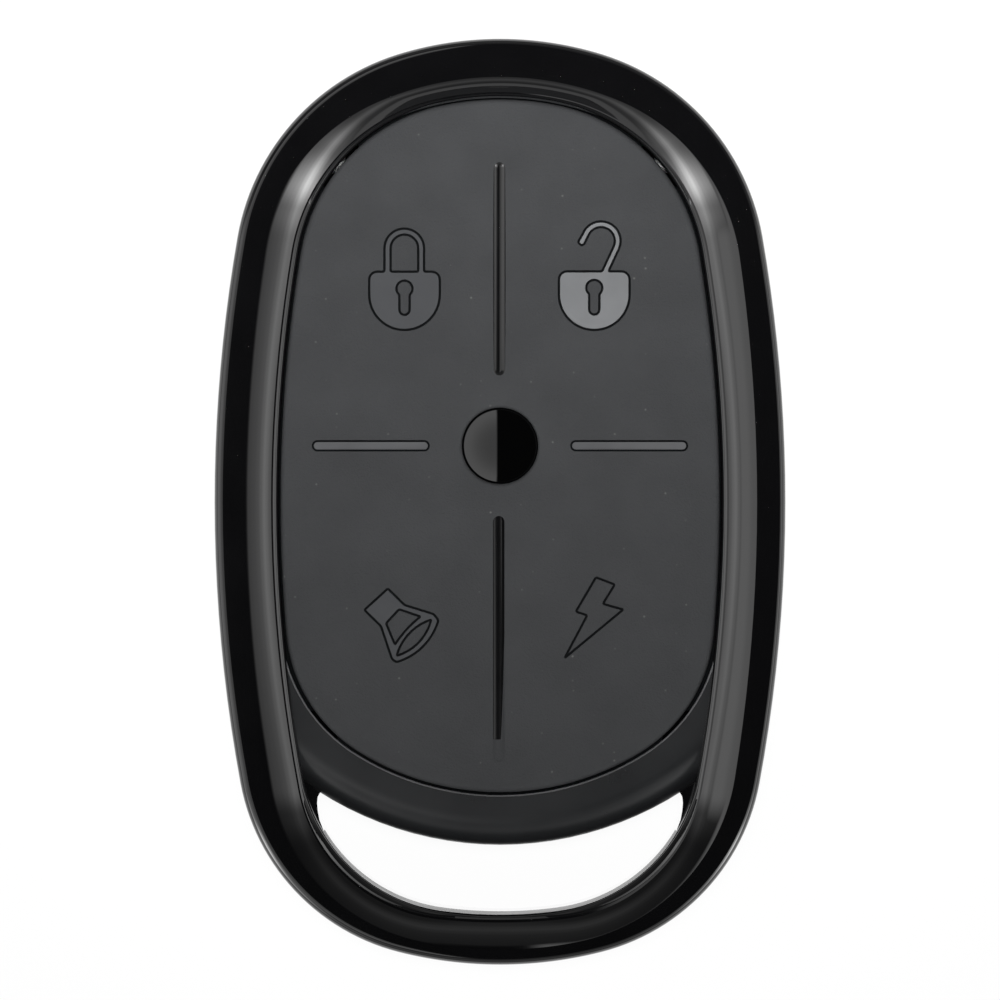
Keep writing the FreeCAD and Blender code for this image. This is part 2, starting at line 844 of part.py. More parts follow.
def make_status_lens():
    foot_top = board_top + cell("lens_foot_height")
    bore_top = board_top + cell("lens_bore_depth")
    radius = cell("lens_radius")
    top = cell("lens_top_height")
    column = turned(
        "lens_column",
        [
            (0.0, bore_top),
            (cell("lens_bore_radius"), bore_top),
            (cell("lens_bore_radius"), board_top),
            (cell("lens_foot_radius"), board_top),
            (cell("lens_foot_radius"), foot_top),
            (radius, foot_top),
            (radius, top),
            (0.0, top),
        ],
        0.0,
        lens_y,
    )
    drop = cell("lens_rim_drop")
    dome_radius = (radius * radius + drop * drop) / (drop * 2)
    dome = lens_ball("lens_dome", top - dome_radius, dome_radius)
    return keep(boolean("Common", "status_lens", column, dome), "status_lens")


def make_status_lamp():
    height = cell("lamp_height")
    base = block("lamp_base", 0.0, lens_y, board_top, cell("lamp_length"), cell("lamp_width"), height)
    dome = lens_ball("lamp_dome", board_top + height, cell("lamp_dome_radius"))
    return keep(boolean("Fuse", "status_led", base, dome), "status_led")


def lens_ball(name, height, radius):
    """A ball on the lens's axis."""
    ball = doc.addObject("Part::Sphere", name)
    bind(ball, "Radius", radius)
    bind(ball, "Placement.Base.y", lens_y)
    bind(ball, "Placement.Base.z", height)
    return ball


# Circuit board

def make_board():
    body = new_body("circuit_board")
    thickness = cell("board_thickness")
    pad_up(body, outline_sketch(body, board, board_bottom), thickness)
    notch = cell("boss_radius") + cell("boss_notch_clearance")
    pocket_up(body, circles_sketch(body, screw_places, notch, board_bottom), thickness)
    return keep(body, "circuit_board")


# Tactile switches: housing with a round well, metal cover, snap dome and stem

def make_switches():
    width = cell("switch_width")
    height = cell("switch_housing_height")
    cover_bottom = board_top + height
    depth = cell("switch_well_depth")
    well_bottom = cover_bottom - depth
    cover_thickness = cell("switch_cover_thickness")
    eye_radius = cell("stem_radius") + cell("stem_clearance")
    covers = []
    terminals = []
    for name, (x, y) in switch_places.items():
        base = block(f"{name}_base", x, y, board_top, width, width, height)
        well = post(f"{name}_well", x, y, well_bottom, cell("switch_well_radius"), depth)
        keep(boolean("Cut", f"switch_housing_{name}", base, well), f"switch_housing_{name}")

        plate = block(f"{name}_plate", x, y, cover_bottom, width, width, cover_thickness)
        eye = post(f"{name}_eye", x, y, cover_bottom, eye_radius, cover_thickness)
        covers.append(boolean("Cut", f"{name}_cover", plate, eye))

        flange_top = cover_bottom - cell("touch_gap")
        flange_bottom = flange_top - cell("stem_flange_thickness")
        stem = turned(
            f"switch_stem_{name}",
            [
                (0.0, flange_bottom),
                (cell("stem_flange_radius"), flange_bottom),
                (cell("stem_flange_radius"), flange_top),
                (cell("stem_radius"), flange_top),
                (cell("stem_radius"), stem_top),
                (0.0, stem_top),
            ],
            x,
            y,
        )
        keep(stem, f"switch_stem_{name}")
        make_dome(name, x, y, well_bottom, flange_bottom - cell("touch_gap"))

        reach = width / 2 + cell("terminal_length") / 2
        for side in (-1, 1):
            for row in (-1, 1):
                terminals.append(
                    block(
                        f"{name}_terminal",
                        x + side * reach,
                        y + row * cell("terminal_spacing") / 2,
                        board_top,
                        cell("terminal_length"),
                        cell("terminal_width"),
                        cell("terminal_thickness"),
                    )
                )
    keep(group("switch_covers", covers), "switch_covers")
    keep(group("switch_terminals", terminals), "switch_terminals")


def make_dome(name, x, y, bottom, top):
    """Snap dome: a shallow cone-shouldered disc that stands on the well's floor."""
    thin = cell("dome_thickness")
    rim = cell("stem_flange_radius")
    shoulder = cell("dome_shoulder_radius")
    drop = cell("dome_shoulder_drop")
    foot = cell("dome_foot_radius")
    points = [
        (0.0, top),
        (0.0, top - thin),
        (shoulder, top - thin - drop),
        (foot, bottom),
        (rim, bottom),
        (rim, bottom + thin),
        (foot + thin, bottom + thin),
        (shoulder, top - drop),
    ]
    keep(turned(f"switch_dome_{name}", points, x, y), f"switch_dome_{name}")


# Coin cell, its clip and its leaf contact

def make_power():
    bottom = floor + cell("cell_floor_gap")
    can_top = bottom + cell("cell_can_height")
    top = bottom + cell("cell_height")
    y = cell("cell_y")
    coin = turned(
        "coin_cell",
        [
            (0.0, bottom),
            (cell("cell_radius"), bottom),
            (cell("cell_radius"), can_top),
            (cell("cell_cap_radius"), can_top),
            (cell("cell_cap_radius"), top),
            (0.0, top),
        ],
        0.0,
        y,
    )
    keep(coin, "coin_cell")

    thin = cell("clip_thickness")
    inside = cell("cell_radius") + cell("clip_side_gap")
    outside = inside + thin
    toe = outside + cell("clip_foot_length")
    seat = bottom - cell("touch_gap")
    foot = board_bottom - thin
    upper = [
        (toe, board_bottom),
        (inside, board_bottom),
        (inside, seat),
    ]
    under = [
        (outside, seat - thin),
        (outside, foot),
        (toe, foot),
    ]
    across = [mirrored(point) for point in reversed(upper)]
    across += [mirrored(point) for point in reversed(under)]
    clip = strip("battery_clip", upper + across + under, cell("clip_width"), y)
    keep(clip, "battery_clip")

    leaf = cell("leaf_thickness")
    low = top + cell("touch_gap")
    start = -cell("leaf_foot_start")
    bend = -cell("leaf_foot_end")
    contact = strip(
        "battery_contact",
        [
            (start, board_bottom),
            (bend, board_bottom),
            (cell("leaf_touch"), low + leaf),
            (cell("leaf_tip"), low + leaf + cell("leaf_tip_rise")),
            (cell("leaf_tip"), low + cell("leaf_tip_rise")),
            (cell("leaf_touch"), low),
            (bend, board_bottom - leaf),
            (start, board_bottom - leaf),
        ],
        cell("leaf_width"),
        y,
    )
    keep(contact, "battery_contact")


def strip(label, points, width, y):
    """Bent sheet metal: a section in XZ carried evenly to both sides of y."""
    body = new_body(label)
    sketch = polygon_sketch(body, points)
    feature = body.newObject("PartDesign::Pad", f"{label}_pad")
    feature.Profile = sketch
    feature.Midplane = True
    bind(feature, "Length", width)
    body.Tip = feature
    bind(body, "Placement.Base.y", y)
    return body


# Chips on the board

def make_chips():
    chip_x = board.half_width - cell("chip_side_inset")
    keep(chip_block("controller", -chip_x, lens_y), "microcontroller")
    pins = []
    reach = cell("controller_width") / 2 + cell("controller_pin_reach") / 2
    for side in (-1, 1):
        for row in range(PINS_PER_SIDE):
            pins.append(
                block(
                    "controller_pin",
                    side * reach - chip_x,
                    lens_y + (row - (PINS_PER_SIDE - 1) / 2) * cell("controller_pin_pitch"),
                    board_top,
                    cell("controller_pin_reach"),
                    cell("controller_pin_width"),
                    cell("controller_pin_thickness"),
                )
            )
    keep(group("controller_pins", pins), "microcontroller_pins")

    crystal_y = board.top_reach - cell("crystal_end_inset")
    lower_row = cell("lower_row_inset") - board.bottom_reach
    keep(chip_block("resonator", chip_x, lens_y), "saw_resonator")
    keep(chip_block("crystal", 0.0, crystal_y), "quartz_crystal")
    keep(chip_block("transistor", -cell("transistor_x"), lower_row), "rf_transistor")

    pitch = cell("small_part_pitch")
    for name, count, first, row_y in (
        ("capacitor", CAPACITORS, pitch / 2, lower_row),
        ("resistor", RESISTORS, -pitch, crystal_y - cell("upper_row_step")),
    ):
        pieces = [chip_block(name, first + index * pitch, row_y) for index in range(count)]
        keep(group(f"{name}s", pieces), f"chip_{name}s")


def chip_block(name, x, y):
    """A surface-mount part soldered on the board's front, sized by its own three cells."""
    return block(
        name,
        x,
        y,
        board_top,
        cell(f"{name}_width"),
        cell(f"{name}_length"),
        cell(f"{name}_height"),
    )


# Case screws

def make_screws():
    screws = []
    head_bottom = cell("screw_head_sink")
    head_top = head_bottom + cell("screw_head_height")
    tip = head_bottom + cell("screw_length")
    for x, y in screw_places:
        screws.append(
            turned(
                "screw",
                [
                    (0.0, head_bottom),
                    (cell("screw_head_radius"), head_bottom),
                    (cell("screw_head_radius"), head_top),
                    (cell("screw_radius"), head_top),
                    (cell("screw_radius"), tip),
                    (0.0, tip),
                ],
                x,
                y,
            )
        )
    keep(group("case_screws", screws), "case_screws")


make_front_shell()
make_rear_shell()
make_keypad_web()
make_keys(make_keypad_face())
make_status_lens()
make_status_lamp()
make_board()
make_switches()
make_power()
make_chips()
make_screws()
doc.recompute()

for thing in doc.Objects:
    if "Invalid" in thing.State or "Error" in thing.State:
        raise RuntimeError(f"{thing.Label} failed: {thing.State}")
for piece in parts:
    if piece.Shape.isNull() or not piece.Shape.isValid():
        raise RuntimeError(f"{piece.Label} has no sound shape")

os.makedirs("parts", exist_ok=True)
for piece in parts:
    piece.Shape.exportStep(f"parts/{piece.Label}.step")
    print(f"{piece.Label}: {len(piece.Shape.Solids)} solid, {piece.Shape.Volume:.1f} mm3")
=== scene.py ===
import json
import math
from collections import namedtuple

import bmesh
import bpy
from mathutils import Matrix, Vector
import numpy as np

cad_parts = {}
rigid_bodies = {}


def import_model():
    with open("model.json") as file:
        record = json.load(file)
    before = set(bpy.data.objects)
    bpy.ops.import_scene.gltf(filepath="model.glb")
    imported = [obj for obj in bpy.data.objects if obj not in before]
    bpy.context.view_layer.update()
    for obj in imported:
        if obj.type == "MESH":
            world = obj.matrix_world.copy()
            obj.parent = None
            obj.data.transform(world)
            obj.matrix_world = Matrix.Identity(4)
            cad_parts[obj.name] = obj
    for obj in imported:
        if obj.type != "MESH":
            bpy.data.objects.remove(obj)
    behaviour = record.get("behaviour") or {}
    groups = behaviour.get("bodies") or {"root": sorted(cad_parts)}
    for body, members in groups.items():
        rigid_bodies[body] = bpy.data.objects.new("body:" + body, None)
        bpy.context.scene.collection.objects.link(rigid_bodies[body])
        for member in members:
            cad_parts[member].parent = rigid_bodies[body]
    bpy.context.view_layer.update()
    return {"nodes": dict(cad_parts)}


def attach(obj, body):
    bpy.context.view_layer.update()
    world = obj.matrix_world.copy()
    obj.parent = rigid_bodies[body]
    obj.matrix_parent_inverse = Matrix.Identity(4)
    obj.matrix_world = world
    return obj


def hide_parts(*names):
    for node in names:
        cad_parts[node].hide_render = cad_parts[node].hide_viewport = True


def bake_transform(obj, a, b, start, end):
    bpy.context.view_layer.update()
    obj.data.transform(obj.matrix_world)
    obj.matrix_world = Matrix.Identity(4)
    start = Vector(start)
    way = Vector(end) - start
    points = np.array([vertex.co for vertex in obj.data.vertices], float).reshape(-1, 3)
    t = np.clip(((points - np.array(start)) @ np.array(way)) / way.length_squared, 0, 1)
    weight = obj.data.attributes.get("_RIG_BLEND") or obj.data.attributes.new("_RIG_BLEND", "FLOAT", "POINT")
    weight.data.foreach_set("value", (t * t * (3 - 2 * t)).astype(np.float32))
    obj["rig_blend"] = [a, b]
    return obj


# Oval key fob remote on a white table, seen from straight above.
# The keyring loop points to -Y and the keys face +Z. Sizes are in millimetres.

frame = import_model()

MM = 0.001
WELD = 0.0005 * MM  # points closer than this become one
LOOP_TOLERANCE = 0.0008

# Camera

CAMERA_HEIGHT = 712.0
FRAMED_WIDTH = 64.83
FRAMED_LEVEL = 12.0
SENSOR = 36.0
FRAME_CENTRE_Y = 0.11

camera_data = bpy.data.cameras.new("camera")
camera_data.sensor_width = SENSOR
camera_data.lens = SENSOR * (CAMERA_HEIGHT - FRAMED_LEVEL) / FRAMED_WIDTH
camera = bpy.data.objects.new("camera", camera_data)
camera.location = (0, FRAME_CENTRE_Y * MM, CAMERA_HEIGHT * MM)
bpy.context.collection.objects.link(camera)
bpy.context.scene.camera = camera
bpy.context.scene.view_settings.view_transform = "Standard"

# Outlines: ovals of eight tangent arcs

Oval = namedtuple(
    "Oval",
    "half_width side_radius top_reach top_corner top_end bottom_reach bottom_corner bottom_end",
)

CASE = Oval(18.5, 100.0, 30.0, 15.1, 22.3, 30.0, 13.9, 26.8)
CROWN = Oval(16.64, 112.0, 27.5, 12.9, 20.0, 29.0, 12.9, 25.3)
SLOPE_FOOT = Oval(14.84, 100.0, 26.55, 12.1, 19.15, 27.28, 10.3, 38.0)
BEVEL_OUTER = Oval(14.73, 100.0, 26.5, 12.08, 19.1, 27.1, 10.15, 39.0)
BEVEL_INNER = Oval(14.6, 100.0, 26.46, 12.05, 19.05, 26.98, 10.0, 40.0)
RING_WALL = Oval(14.4, 99.8, 26.3, 11.85, 18.85, 26.78, 10.6, 28.0)
PAD_OPENING = Oval(14.55, 100.0, 26.4, 12.0, 19.0, 19.05, 10.3, 17.6)
PAD = Oval(14.25, 99.7, 26.1, 11.7, 18.7, 18.85, 10.1, 17.4)
BODY_END = Oval(16.7, 98.2, 28.2, 13.3, 20.5, 22.33, 3.0, 21.8)
FRONT_CAVITY = Oval(16.7, 98.2, 28.2, 13.3, 20.5, 20.7, 3.0, 20.7)
BACK_CAVITY = Oval(15.95, 97.45, 27.45, 12.55, 19.75, 19.95, 3.0, 20.05)

ARC_STEPS = (10, 28, 14)  # of a side arc, a corner arc and an end arc
LENS_Y = 3.625


def corner_centre(half_width, side_radius, reach, corner, end):
    """Centre of the corner arc that touches both the side arc and the end arc."""
    side_x = half_width - side_radius
    end_y = reach - end
    side_reach = side_radius - corner
    apart = math.hypot(side_x, end_y)
    along = (apart ** 2 + side_reach ** 2 - (end - corner) ** 2) / (2 * apart)
    across = math.sqrt(side_reach ** 2 - along ** 2)
    step_x = -side_x / apart
    step_y = end_y / apart
    return (side_x + step_x * along - step_y * across, step_y * along + step_x * across)


def between(oval, other, share):
    """An oval part of the way from one outline to another."""
    return Oval(*[start + (end - start) * share for start, end in zip(oval, other)])


def quarter(oval, top):
    """The side, corner and end arcs of one right-hand quarter: centre, degrees and steps."""
    if top:
        reach, corner, end = oval.top_reach, oval.top_corner, oval.top_end
    else:
        reach, corner, end = oval.bottom_reach, oval.bottom_corner, oval.bottom_end
    x, y = corner_centre(oval.half_width, oval.side_radius, reach, corner, end)
    side_turn = math.degrees(math.atan2(y, x - (oval.half_width - oval.side_radius)))
    end_turn = 90 - math.degrees(math.atan2(y - (reach - end), x))
    sweeps = (side_turn, 90 - side_turn - end_turn, end_turn)
    flip = 1 if top else -1
    centres = ((oval.half_width - oval.side_radius, 0), (x, flip * y), (0, flip * (reach - end)))
    return list(zip(centres, sweeps, ARC_STEPS))


def way_round(oval):
    """All arcs of an oval, anticlockwise from the middle of its top."""
    top = quarter(oval, True)
    low = quarter(oval, False)

    def left(arcs):
        return [((-centre[0], centre[1]), sweep, steps) for centre, sweep, steps in arcs]

    return left(top[::-1]) + left(low) + low[::-1] + top


# Modelling helpers

def new_piece(name):
    """An empty mesh at the origin, left in edit mode."""
    bpy.ops.object.select_all(action="DESELECT")
    bpy.context.tool_settings.mesh_select_mode = (True, False, False)
    bpy.ops.mesh.primitive_plane_add(size=MM, location=(0, 0, 0))
    piece = bpy.context.object
    piece.name = name
    piece.data.name = name
    bpy.ops.object.mode_set(mode="EDIT")
    bpy.ops.mesh.delete(type="VERT")
    return piece


def close_piece(piece, angle=30):
    """Leave edit mode with merged points, outward faces and smooth curves."""
    bpy.ops.mesh.select_all(action="SELECT")
    bpy.ops.mesh.remove_doubles(threshold=WELD)
    bpy.ops.mesh.normals_make_consistent(inside=False)
    bpy.ops.object.mode_set(mode="OBJECT")
    smooth(piece, angle)


def smooth(piece, angle=30):
    choose(piece)
    bpy.ops.object.shade_smooth_by_angle(angle=math.radians(angle))


def choose(piece):
    """Make a piece the active one, and the only one selected."""
    bpy.ops.object.select_all(action="DESELECT")
    piece.select_set(True)
    bpy.context.view_layer.objects.active = piece


def give(piece, *finishes):
    """Add finishes to a piece; its faces have the first."""
    for material in finishes:
        piece.data.materials.append(material)


def select_points(piece, test):
    """Select the points whose place in millimetres passes a test, and nothing else."""
    bpy.ops.mesh.select_mode(type="VERT")
    bpy.ops.mesh.select_all(action="DESELECT")
    mesh = bmesh.from_edit_mesh(piece.data)
    for point in mesh.verts:
        if test(point.co / MM):
            point.select = True
    mesh.select_flush(True)
    bmesh.update_edit_mesh(piece.data)


def draw_line(points):
    """A chain of edges through the given points, in edit mode, left selected."""
    bpy.ops.mesh.select_mode(type="VERT")
    bpy.ops.mesh.select_all(action="DESELECT")
    bpy.ops.mesh.primitive_plane_add(size=MM / 100, location=Vector(points[0]) * MM)
    bpy.ops.mesh.merge(type="CENTER")
    for start, end in zip(points, points[1:]):
        step = (Vector(end) - Vector(start)) * MM
        bpy.ops.mesh.extrude_vertices_move(TRANSFORM_OT_translate={"value": step})
    bpy.ops.mesh.select_linked()


def spin(centre, degrees, steps):
    """Turn what is selected anticlockwise about an upright line."""
    bpy.ops.mesh.spin(
        steps=steps,
        angle=-math.radians(degrees),
        center=(centre[0] * MM, centre[1] * MM, 0),
        axis=(0, 0, 1),
    )


def sweep_round(oval, profile):
    """Sweep a profile of (distance inside the outline, height) points round an oval."""
    draw_line([(0, oval.top_reach - inset, height) for inset, height in profile])
    for centre, degrees, steps in way_round(oval):
        spin(centre, degrees, steps)
    bpy.ops.mesh.select_linked()
    bpy.ops.mesh.remove_doubles(threshold=WELD)


def rounded(centre, radius, start, end, steps):
    """Points of an arc from one angle to the other, in degrees."""
    points = []
    for step in range(steps + 1):
        angle = math.radians(start + (end - start) * step / steps)
        points.append((centre[0] + radius * math.cos(angle), centre[1] + radius * math.sin(angle)))
    return points


def select_loops(piece, heights):
    """Select the open edge loops that lie at the given heights."""
    bpy.ops.mesh.select_mode(type="EDGE")
    bpy.ops.mesh.select_all(action="DESELECT")
    mesh = bmesh.from_edit_mesh(piece.data)
    for edge in mesh.edges:
        ends = [point.co.z / MM for point in edge.verts]
        if edge.is_boundary or edge.is_wire:
            if any(max(abs(end - height) for end in ends) < LOOP_TOLERANCE for height in heights):
                edge.select = True
    bmesh.update_edit_mesh(piece.data)


def bridge(piece, *heights):
    select_loops(piece, heights)
    bpy.ops.mesh.bridge_edge_loops()


def cap(piece, height):
    select_loops(piece, [height])
    bpy.ops.mesh.edge_face_add()


def block(name, oval, profile):
    """A solid with an oval outline; the profile runs from its bottom to its top."""
    piece = new_piece(name)
    sweep_round(oval, profile)
    cap(piece, profile[0][1])
    cap(piece, profile[-1][1])
    close_piece(piece)
    return piece


def extrude_outline(outline, level, rise):
    """Fill a closed outline of (x, y) points and extrude it; its far face stays selected."""
    draw_line([(x, y, level) for x, y in outline + outline[:1]])
    bpy.ops.mesh.remove_doubles(threshold=WELD)
    bpy.ops.mesh.edge_face_add()
    bpy.ops.mesh.extrude_region_move(TRANSFORM_OT_translate={"value": (0, 0, rise * MM)})


def upright(name, outline, bottom, top):
    """A solid with straight walls over an outline of (x, y) points."""
    piece = new_piece(name)
    extrude_outline(outline, bottom, top - bottom)
    close_piece(piece)
    return piece


def turned(name, profile, centre, steps=96):
    """A shape spun round an upright axis from (radius, height) points."""
    piece = new_piece(name)
    draw_line([(centre[0] + radius, centre[1], height) for radius, height in profile])
    spin(centre, 360, steps)
    close_piece(piece)
    return piece


def copy_of(piece, name, move=(0, 0, 0)):
    copy = piece.copy()
    copy.data = piece.data.copy()
    copy.name = name
    copy.data.name = name
    bpy.context.collection.objects.link(copy)
    if any(move):
        choose(copy)
        bpy.ops.transform.translate(value=Vector(move) * MM)
        bpy.ops.object.transform_apply(location=True, rotation=False, scale=False)
    return copy


def drop(*pieces):
    for piece in pieces:
        bpy.data.objects.remove(piece)


def combine(piece, other, operation="DIFFERENCE", crosses_itself=False):
    """Cut a closed shape out of a piece, or add it; new faces take the other's finish."""
    choose(piece)
    modifier = piece.modifiers.new("combine", "BOOLEAN")
    modifier.operation = operation
    modifier.solver = "EXACT"
    modifier.use_self = crosses_itself
    modifier.material_mode = "TRANSFER"
    modifier.object = other
    bpy.ops.object.modifier_apply(modifier="combine")


def cut_half(piece, place, direction):
    """Cut a piece with a plane, drop the side the direction points to and close the cut."""
    choose(piece)
    bpy.ops.object.mode_set(mode="EDIT")
    bpy.ops.mesh.select_all(action="SELECT")
    bpy.ops.mesh.bisect(
        plane_co=Vector(place) * MM,
        plane_no=direction,
        use_fill=True,
        clear_outer=True,
        threshold=0.0001 * MM,
    )
    bpy.ops.object.mode_set(mode="OBJECT")


# Effects that several finishes share

def new_group(name, inputs, outputs):
    group = bpy.data.node_groups.new(name, "ShaderNodeTree")
    for socket, kind, value in inputs:
        made = group.interface.new_socket(socket, in_out="INPUT", socket_type=kind)
        if value is not None:
            made.default_value = value
    for socket, kind in outputs:
        group.interface.new_socket(socket, in_out="OUTPUT", socket_type=kind)
    return group, group.nodes.new("NodeGroupInput"), group.nodes.new("NodeGroupOutput")


def node(tree, kind, values=(), **settings):
    """A node with its settings; a value for an input is a number, a colour or another output."""
    made = tree.nodes.new(kind)
    for setting, value in settings.items():
        setattr(made, setting, value)
    for socket, value in dict(values).items():
        if isinstance(value, bpy.types.NodeSocket):
            tree.links.new(value, made.inputs[socket])
        else:
            made.inputs[socket].default_value = value
    return made


def maths(tree, operation, first, second=0.0, third=0.0, clamp=False):
    made = node(tree, "ShaderNodeMath", {0: first, 1: second, 2: third}, operation=operation)
    made.use_clamp = clamp
    return made.outputs[0]


def noise(tree, place, scale, detail=2.0, roughness=0.5):
    return node(
        tree,
        "ShaderNodeTexNoise",
        {"Vector": place, "Scale": scale, "Detail": detail, "Roughness": roughness},
    ).outputs["Fac"]


def make_moulding_grain():
    """Fine grain of a moulded surface, and slow drifts of its tone."""
    tree, given, out = new_group(
        "moulding_grain",
        [("Place", "NodeSocketVector", None), ("Grain Scale", "NodeSocketFloat", 4000.0),
         ("Drift Scale", "NodeSocketFloat", 300.0)],
        [("Height", "NodeSocketFloat"), ("Drift", "NodeSocketFloat")],
    )
    fine = noise(tree, given.outputs["Place"], given.outputs["Grain Scale"], 3.0, 0.6)
    drift = noise(tree, given.outputs["Place"], given.outputs["Drift Scale"], 4.0, 0.55)
    tree.links.new(fine, out.inputs["Height"])
    tree.links.new(drift, out.inputs["Drift"])
    return tree


def make_dust_specks():
    """Loose specks of dust: small round spots, thinned out by a slow noise."""
    tree, given, out = new_group(
        "dust_specks",
        [("Place", "NodeSocketVector", None), ("Speck Scale", "NodeSocketFloat", 900.0),
         ("Cover", "NodeSocketFloat", 0.3)],
        [("Mask", "NodeSocketFloat")],
    )
    cells = node(
        tree,
        "ShaderNodeTexVoronoi",
        {"Vector": given.outputs["Place"], "Scale": given.outputs["Speck Scale"]},
    )
    spot = maths(tree, "MULTIPLY_ADD", cells.outputs["Distance"], -9.0, 1.3, clamp=True)
    chance = node(tree, "ShaderNodeSeparateColor", {"Color": cells.outputs["Color"]})
    kept = maths(tree, "LESS_THAN", chance.outputs[0], given.outputs["Cover"])
    faint = maths(tree, "MULTIPLY", chance.outputs[1], kept)
    mask = maths(tree, "MULTIPLY", spot, faint, clamp=True)
    tree.links.new(mask, out.inputs["Mask"])
    return tree


def make_edge_wear():
    """Where a surface turns over an edge, broken up by noise."""
    tree, given, out = new_group(
        "edge_wear",
        [("Place", "NodeSocketVector", None), ("Width", "NodeSocketFloat", 0.0001),
         ("Break Up Scale", "NodeSocketFloat", 2500.0)],
        [("Mask", "NodeSocketFloat")],
    )
    turned_over = node(tree, "ShaderNodeBevel", {"Radius": given.outputs["Width"]}, samples=4)
    surface = node(tree, "ShaderNodeNewGeometry")
    agree = node(
        tree,
        "ShaderNodeVectorMath",
        {0: turned_over.outputs[0], 1: surface.outputs["Normal"]},
        operation="DOT_PRODUCT",
    ).outputs["Value"]
    edge = maths(tree, "MULTIPLY_ADD", agree, -6.0, 5.8, clamp=True)
    patches = noise(tree, given.outputs["Place"], given.outputs["Break Up Scale"], 3.0)
    broken = maths(tree, "MULTIPLY_ADD", patches, 4.0, -1.7, clamp=True)
    tree.links.new(maths(tree, "MULTIPLY", edge, broken), out.inputs["Mask"])
    return tree


def make_fine_scratches():
    """Hairlines in one direction, as brushing or rubbing leaves them."""
    tree, given, out = new_group(
        "fine_scratches",
        [("Place", "NodeSocketVector", None), ("Line Scale", "NodeSocketFloat", 6000.0)],
        [("Height", "NodeSocketFloat")],
    )
    drawn = node(
        tree, "ShaderNodeMapping", {"Vector": given.outputs["Place"], "Scale": (0.04, 1.0, 1.0)}
    ).outputs[0]
    tree.links.new(noise(tree, drawn, given.outputs["Line Scale"], 2.0), out.inputs["Height"])
    return tree


MOULDING_GRAIN = make_moulding_grain()
DUST_SPECKS = make_dust_specks()
EDGE_WEAR = make_edge_wear()
FINE_SCRATCHES = make_fine_scratches()


def placed(tree, group, values):
    return node(tree, "ShaderNodeGroup", values, node_tree=group)


def mixed(tree, share, first, second):
    """One colour going over into another; colours may be given as red, green, blue."""
    first, second = [
        (*colour, 1) if isinstance(colour, tuple) and len(colour) == 3 else colour
        for colour in (first, second)
    ]
    return node(
        tree, "ShaderNodeMix", {"Factor": share, 6: first, 7: second}, data_type="RGBA"
    ).outputs[2]


DRIFT_SIZE = 4.0
SPECK_SCALE = 1500.0
DUST_COLOUR = (0.09, 0.09, 0.088)
DUST_ROUGHNESS = 0.5
WEAR_ROUGHNESS = 0.15


def finish(name, colour, roughness, metallic=0.0, grain=0.25, grain_depth=0.004, tone=0.12,
           uneven=0.08, dust=0.0, wear=0.0, wear_colour=None, brushed=0.0, shine=0.5, lacquer=0.0):
    """A finish: grain size and depth in millimetres; tone, dust, wear and lacquer as shares."""
    material = bpy.data.materials.new(name)
    material.use_nodes = True
    tree = material.node_tree
    shader = tree.nodes["Principled BSDF"]
    shader.inputs["Metallic"].default_value = metallic
    shader.inputs["Specular IOR Level"].default_value = shine
    shader.inputs["Coat Weight"].default_value = lacquer
    place = node(tree, "ShaderNodeTexCoord").outputs["Object"]
    surface = placed(tree, MOULDING_GRAIN, {"Place": place, "Grain Scale": 1 / (grain * MM),
                                            "Drift Scale": 1 / (DRIFT_SIZE * MM)})
    drift = maths(tree, "MULTIPLY_ADD", surface.outputs["Drift"], 2.0, -0.5, clamp=True)
    dark = tuple(part * (1 - tone) for part in colour)
    light = tuple(part * (1 + tone) for part in colour)
    shade = mixed(tree, drift, dark, light)
    rough = maths(tree, "MULTIPLY_ADD", drift, uneven, roughness - uneven / 2)
    if dust:
        specks = placed(tree, DUST_SPECKS, {"Place": place, "Speck Scale": SPECK_SCALE,
                                             "Cover": dust})
        shade = mixed(tree, specks.outputs["Mask"], shade, DUST_COLOUR)
        rough = maths(tree, "MULTIPLY_ADD", specks.outputs["Mask"], DUST_ROUGHNESS, rough)
    if wear:
        worn = placed(tree, EDGE_WEAR, {"Place": place})
        share = maths(tree, "MULTIPLY", worn.outputs["Mask"], wear)
        rubbed = wear_colour or tuple(part * 2.5 + 0.01 for part in colour)
        shade = mixed(tree, share, shade, rubbed)
        rough = maths(tree, "MULTIPLY_ADD", share, WEAR_ROUGHNESS, rough)
    height = surface.outputs["Height"]
    if brushed:
        lines = placed(tree, FINE_SCRATCHES, {"Place": place})
        height = maths(tree, "MULTIPLY_ADD", lines.outputs["Height"], brushed, height)
    bump = node(
        tree,
        "ShaderNodeBump",
        {"Strength": 1.0, "Distance": grain_depth * MM, "Height": height},
    )
    tree.links.new(shade, shader.inputs["Base Color"])
    tree.links.new(rough, shader.inputs["Roughness"])
    tree.links.new(bump.outputs[0], shader.inputs["Normal"])
    return material


gloss_black = finish("gloss_black_plastic", (0.0016, 0.0016, 0.0018), 0.06, grain=0.9,
                     grain_depth=0.0004, uneven=0.03, wear=0.2, lacquer=1.0)
satin_black = finish("satin_black_plastic", (0.0088, 0.0092, 0.0098), 0.3, grain=0.12,
                     grain_depth=0.002)
# A much lighter black for the deck's top edge: a painted highlight where that tilted band catches the light.
painted_highlight_edge = finish("black_edge_painted_highlight", (0.075, 0.075, 0.077), 0.35, grain=0.2,
                     grain_depth=0.002)
spark_textured_black = finish("spark_textured_black_plastic", (0.011, 0.0112, 0.0116), 0.42,
                              grain=0.16, grain_depth=0.02, dust=0.05, wear=0.4)
keypad_silicone = finish("keypad_silicone", (0.0245, 0.0252, 0.0264), 0.56, grain=0.14,
                         grain_depth=0.05, tone=0.1, dust=0.2, shine=0.2)
polished_silicone = finish("polished_silicone", (0.033, 0.034, 0.036), 0.42, grain=0.3,
                           grain_depth=0.002, tone=0.08, shine=0.2)
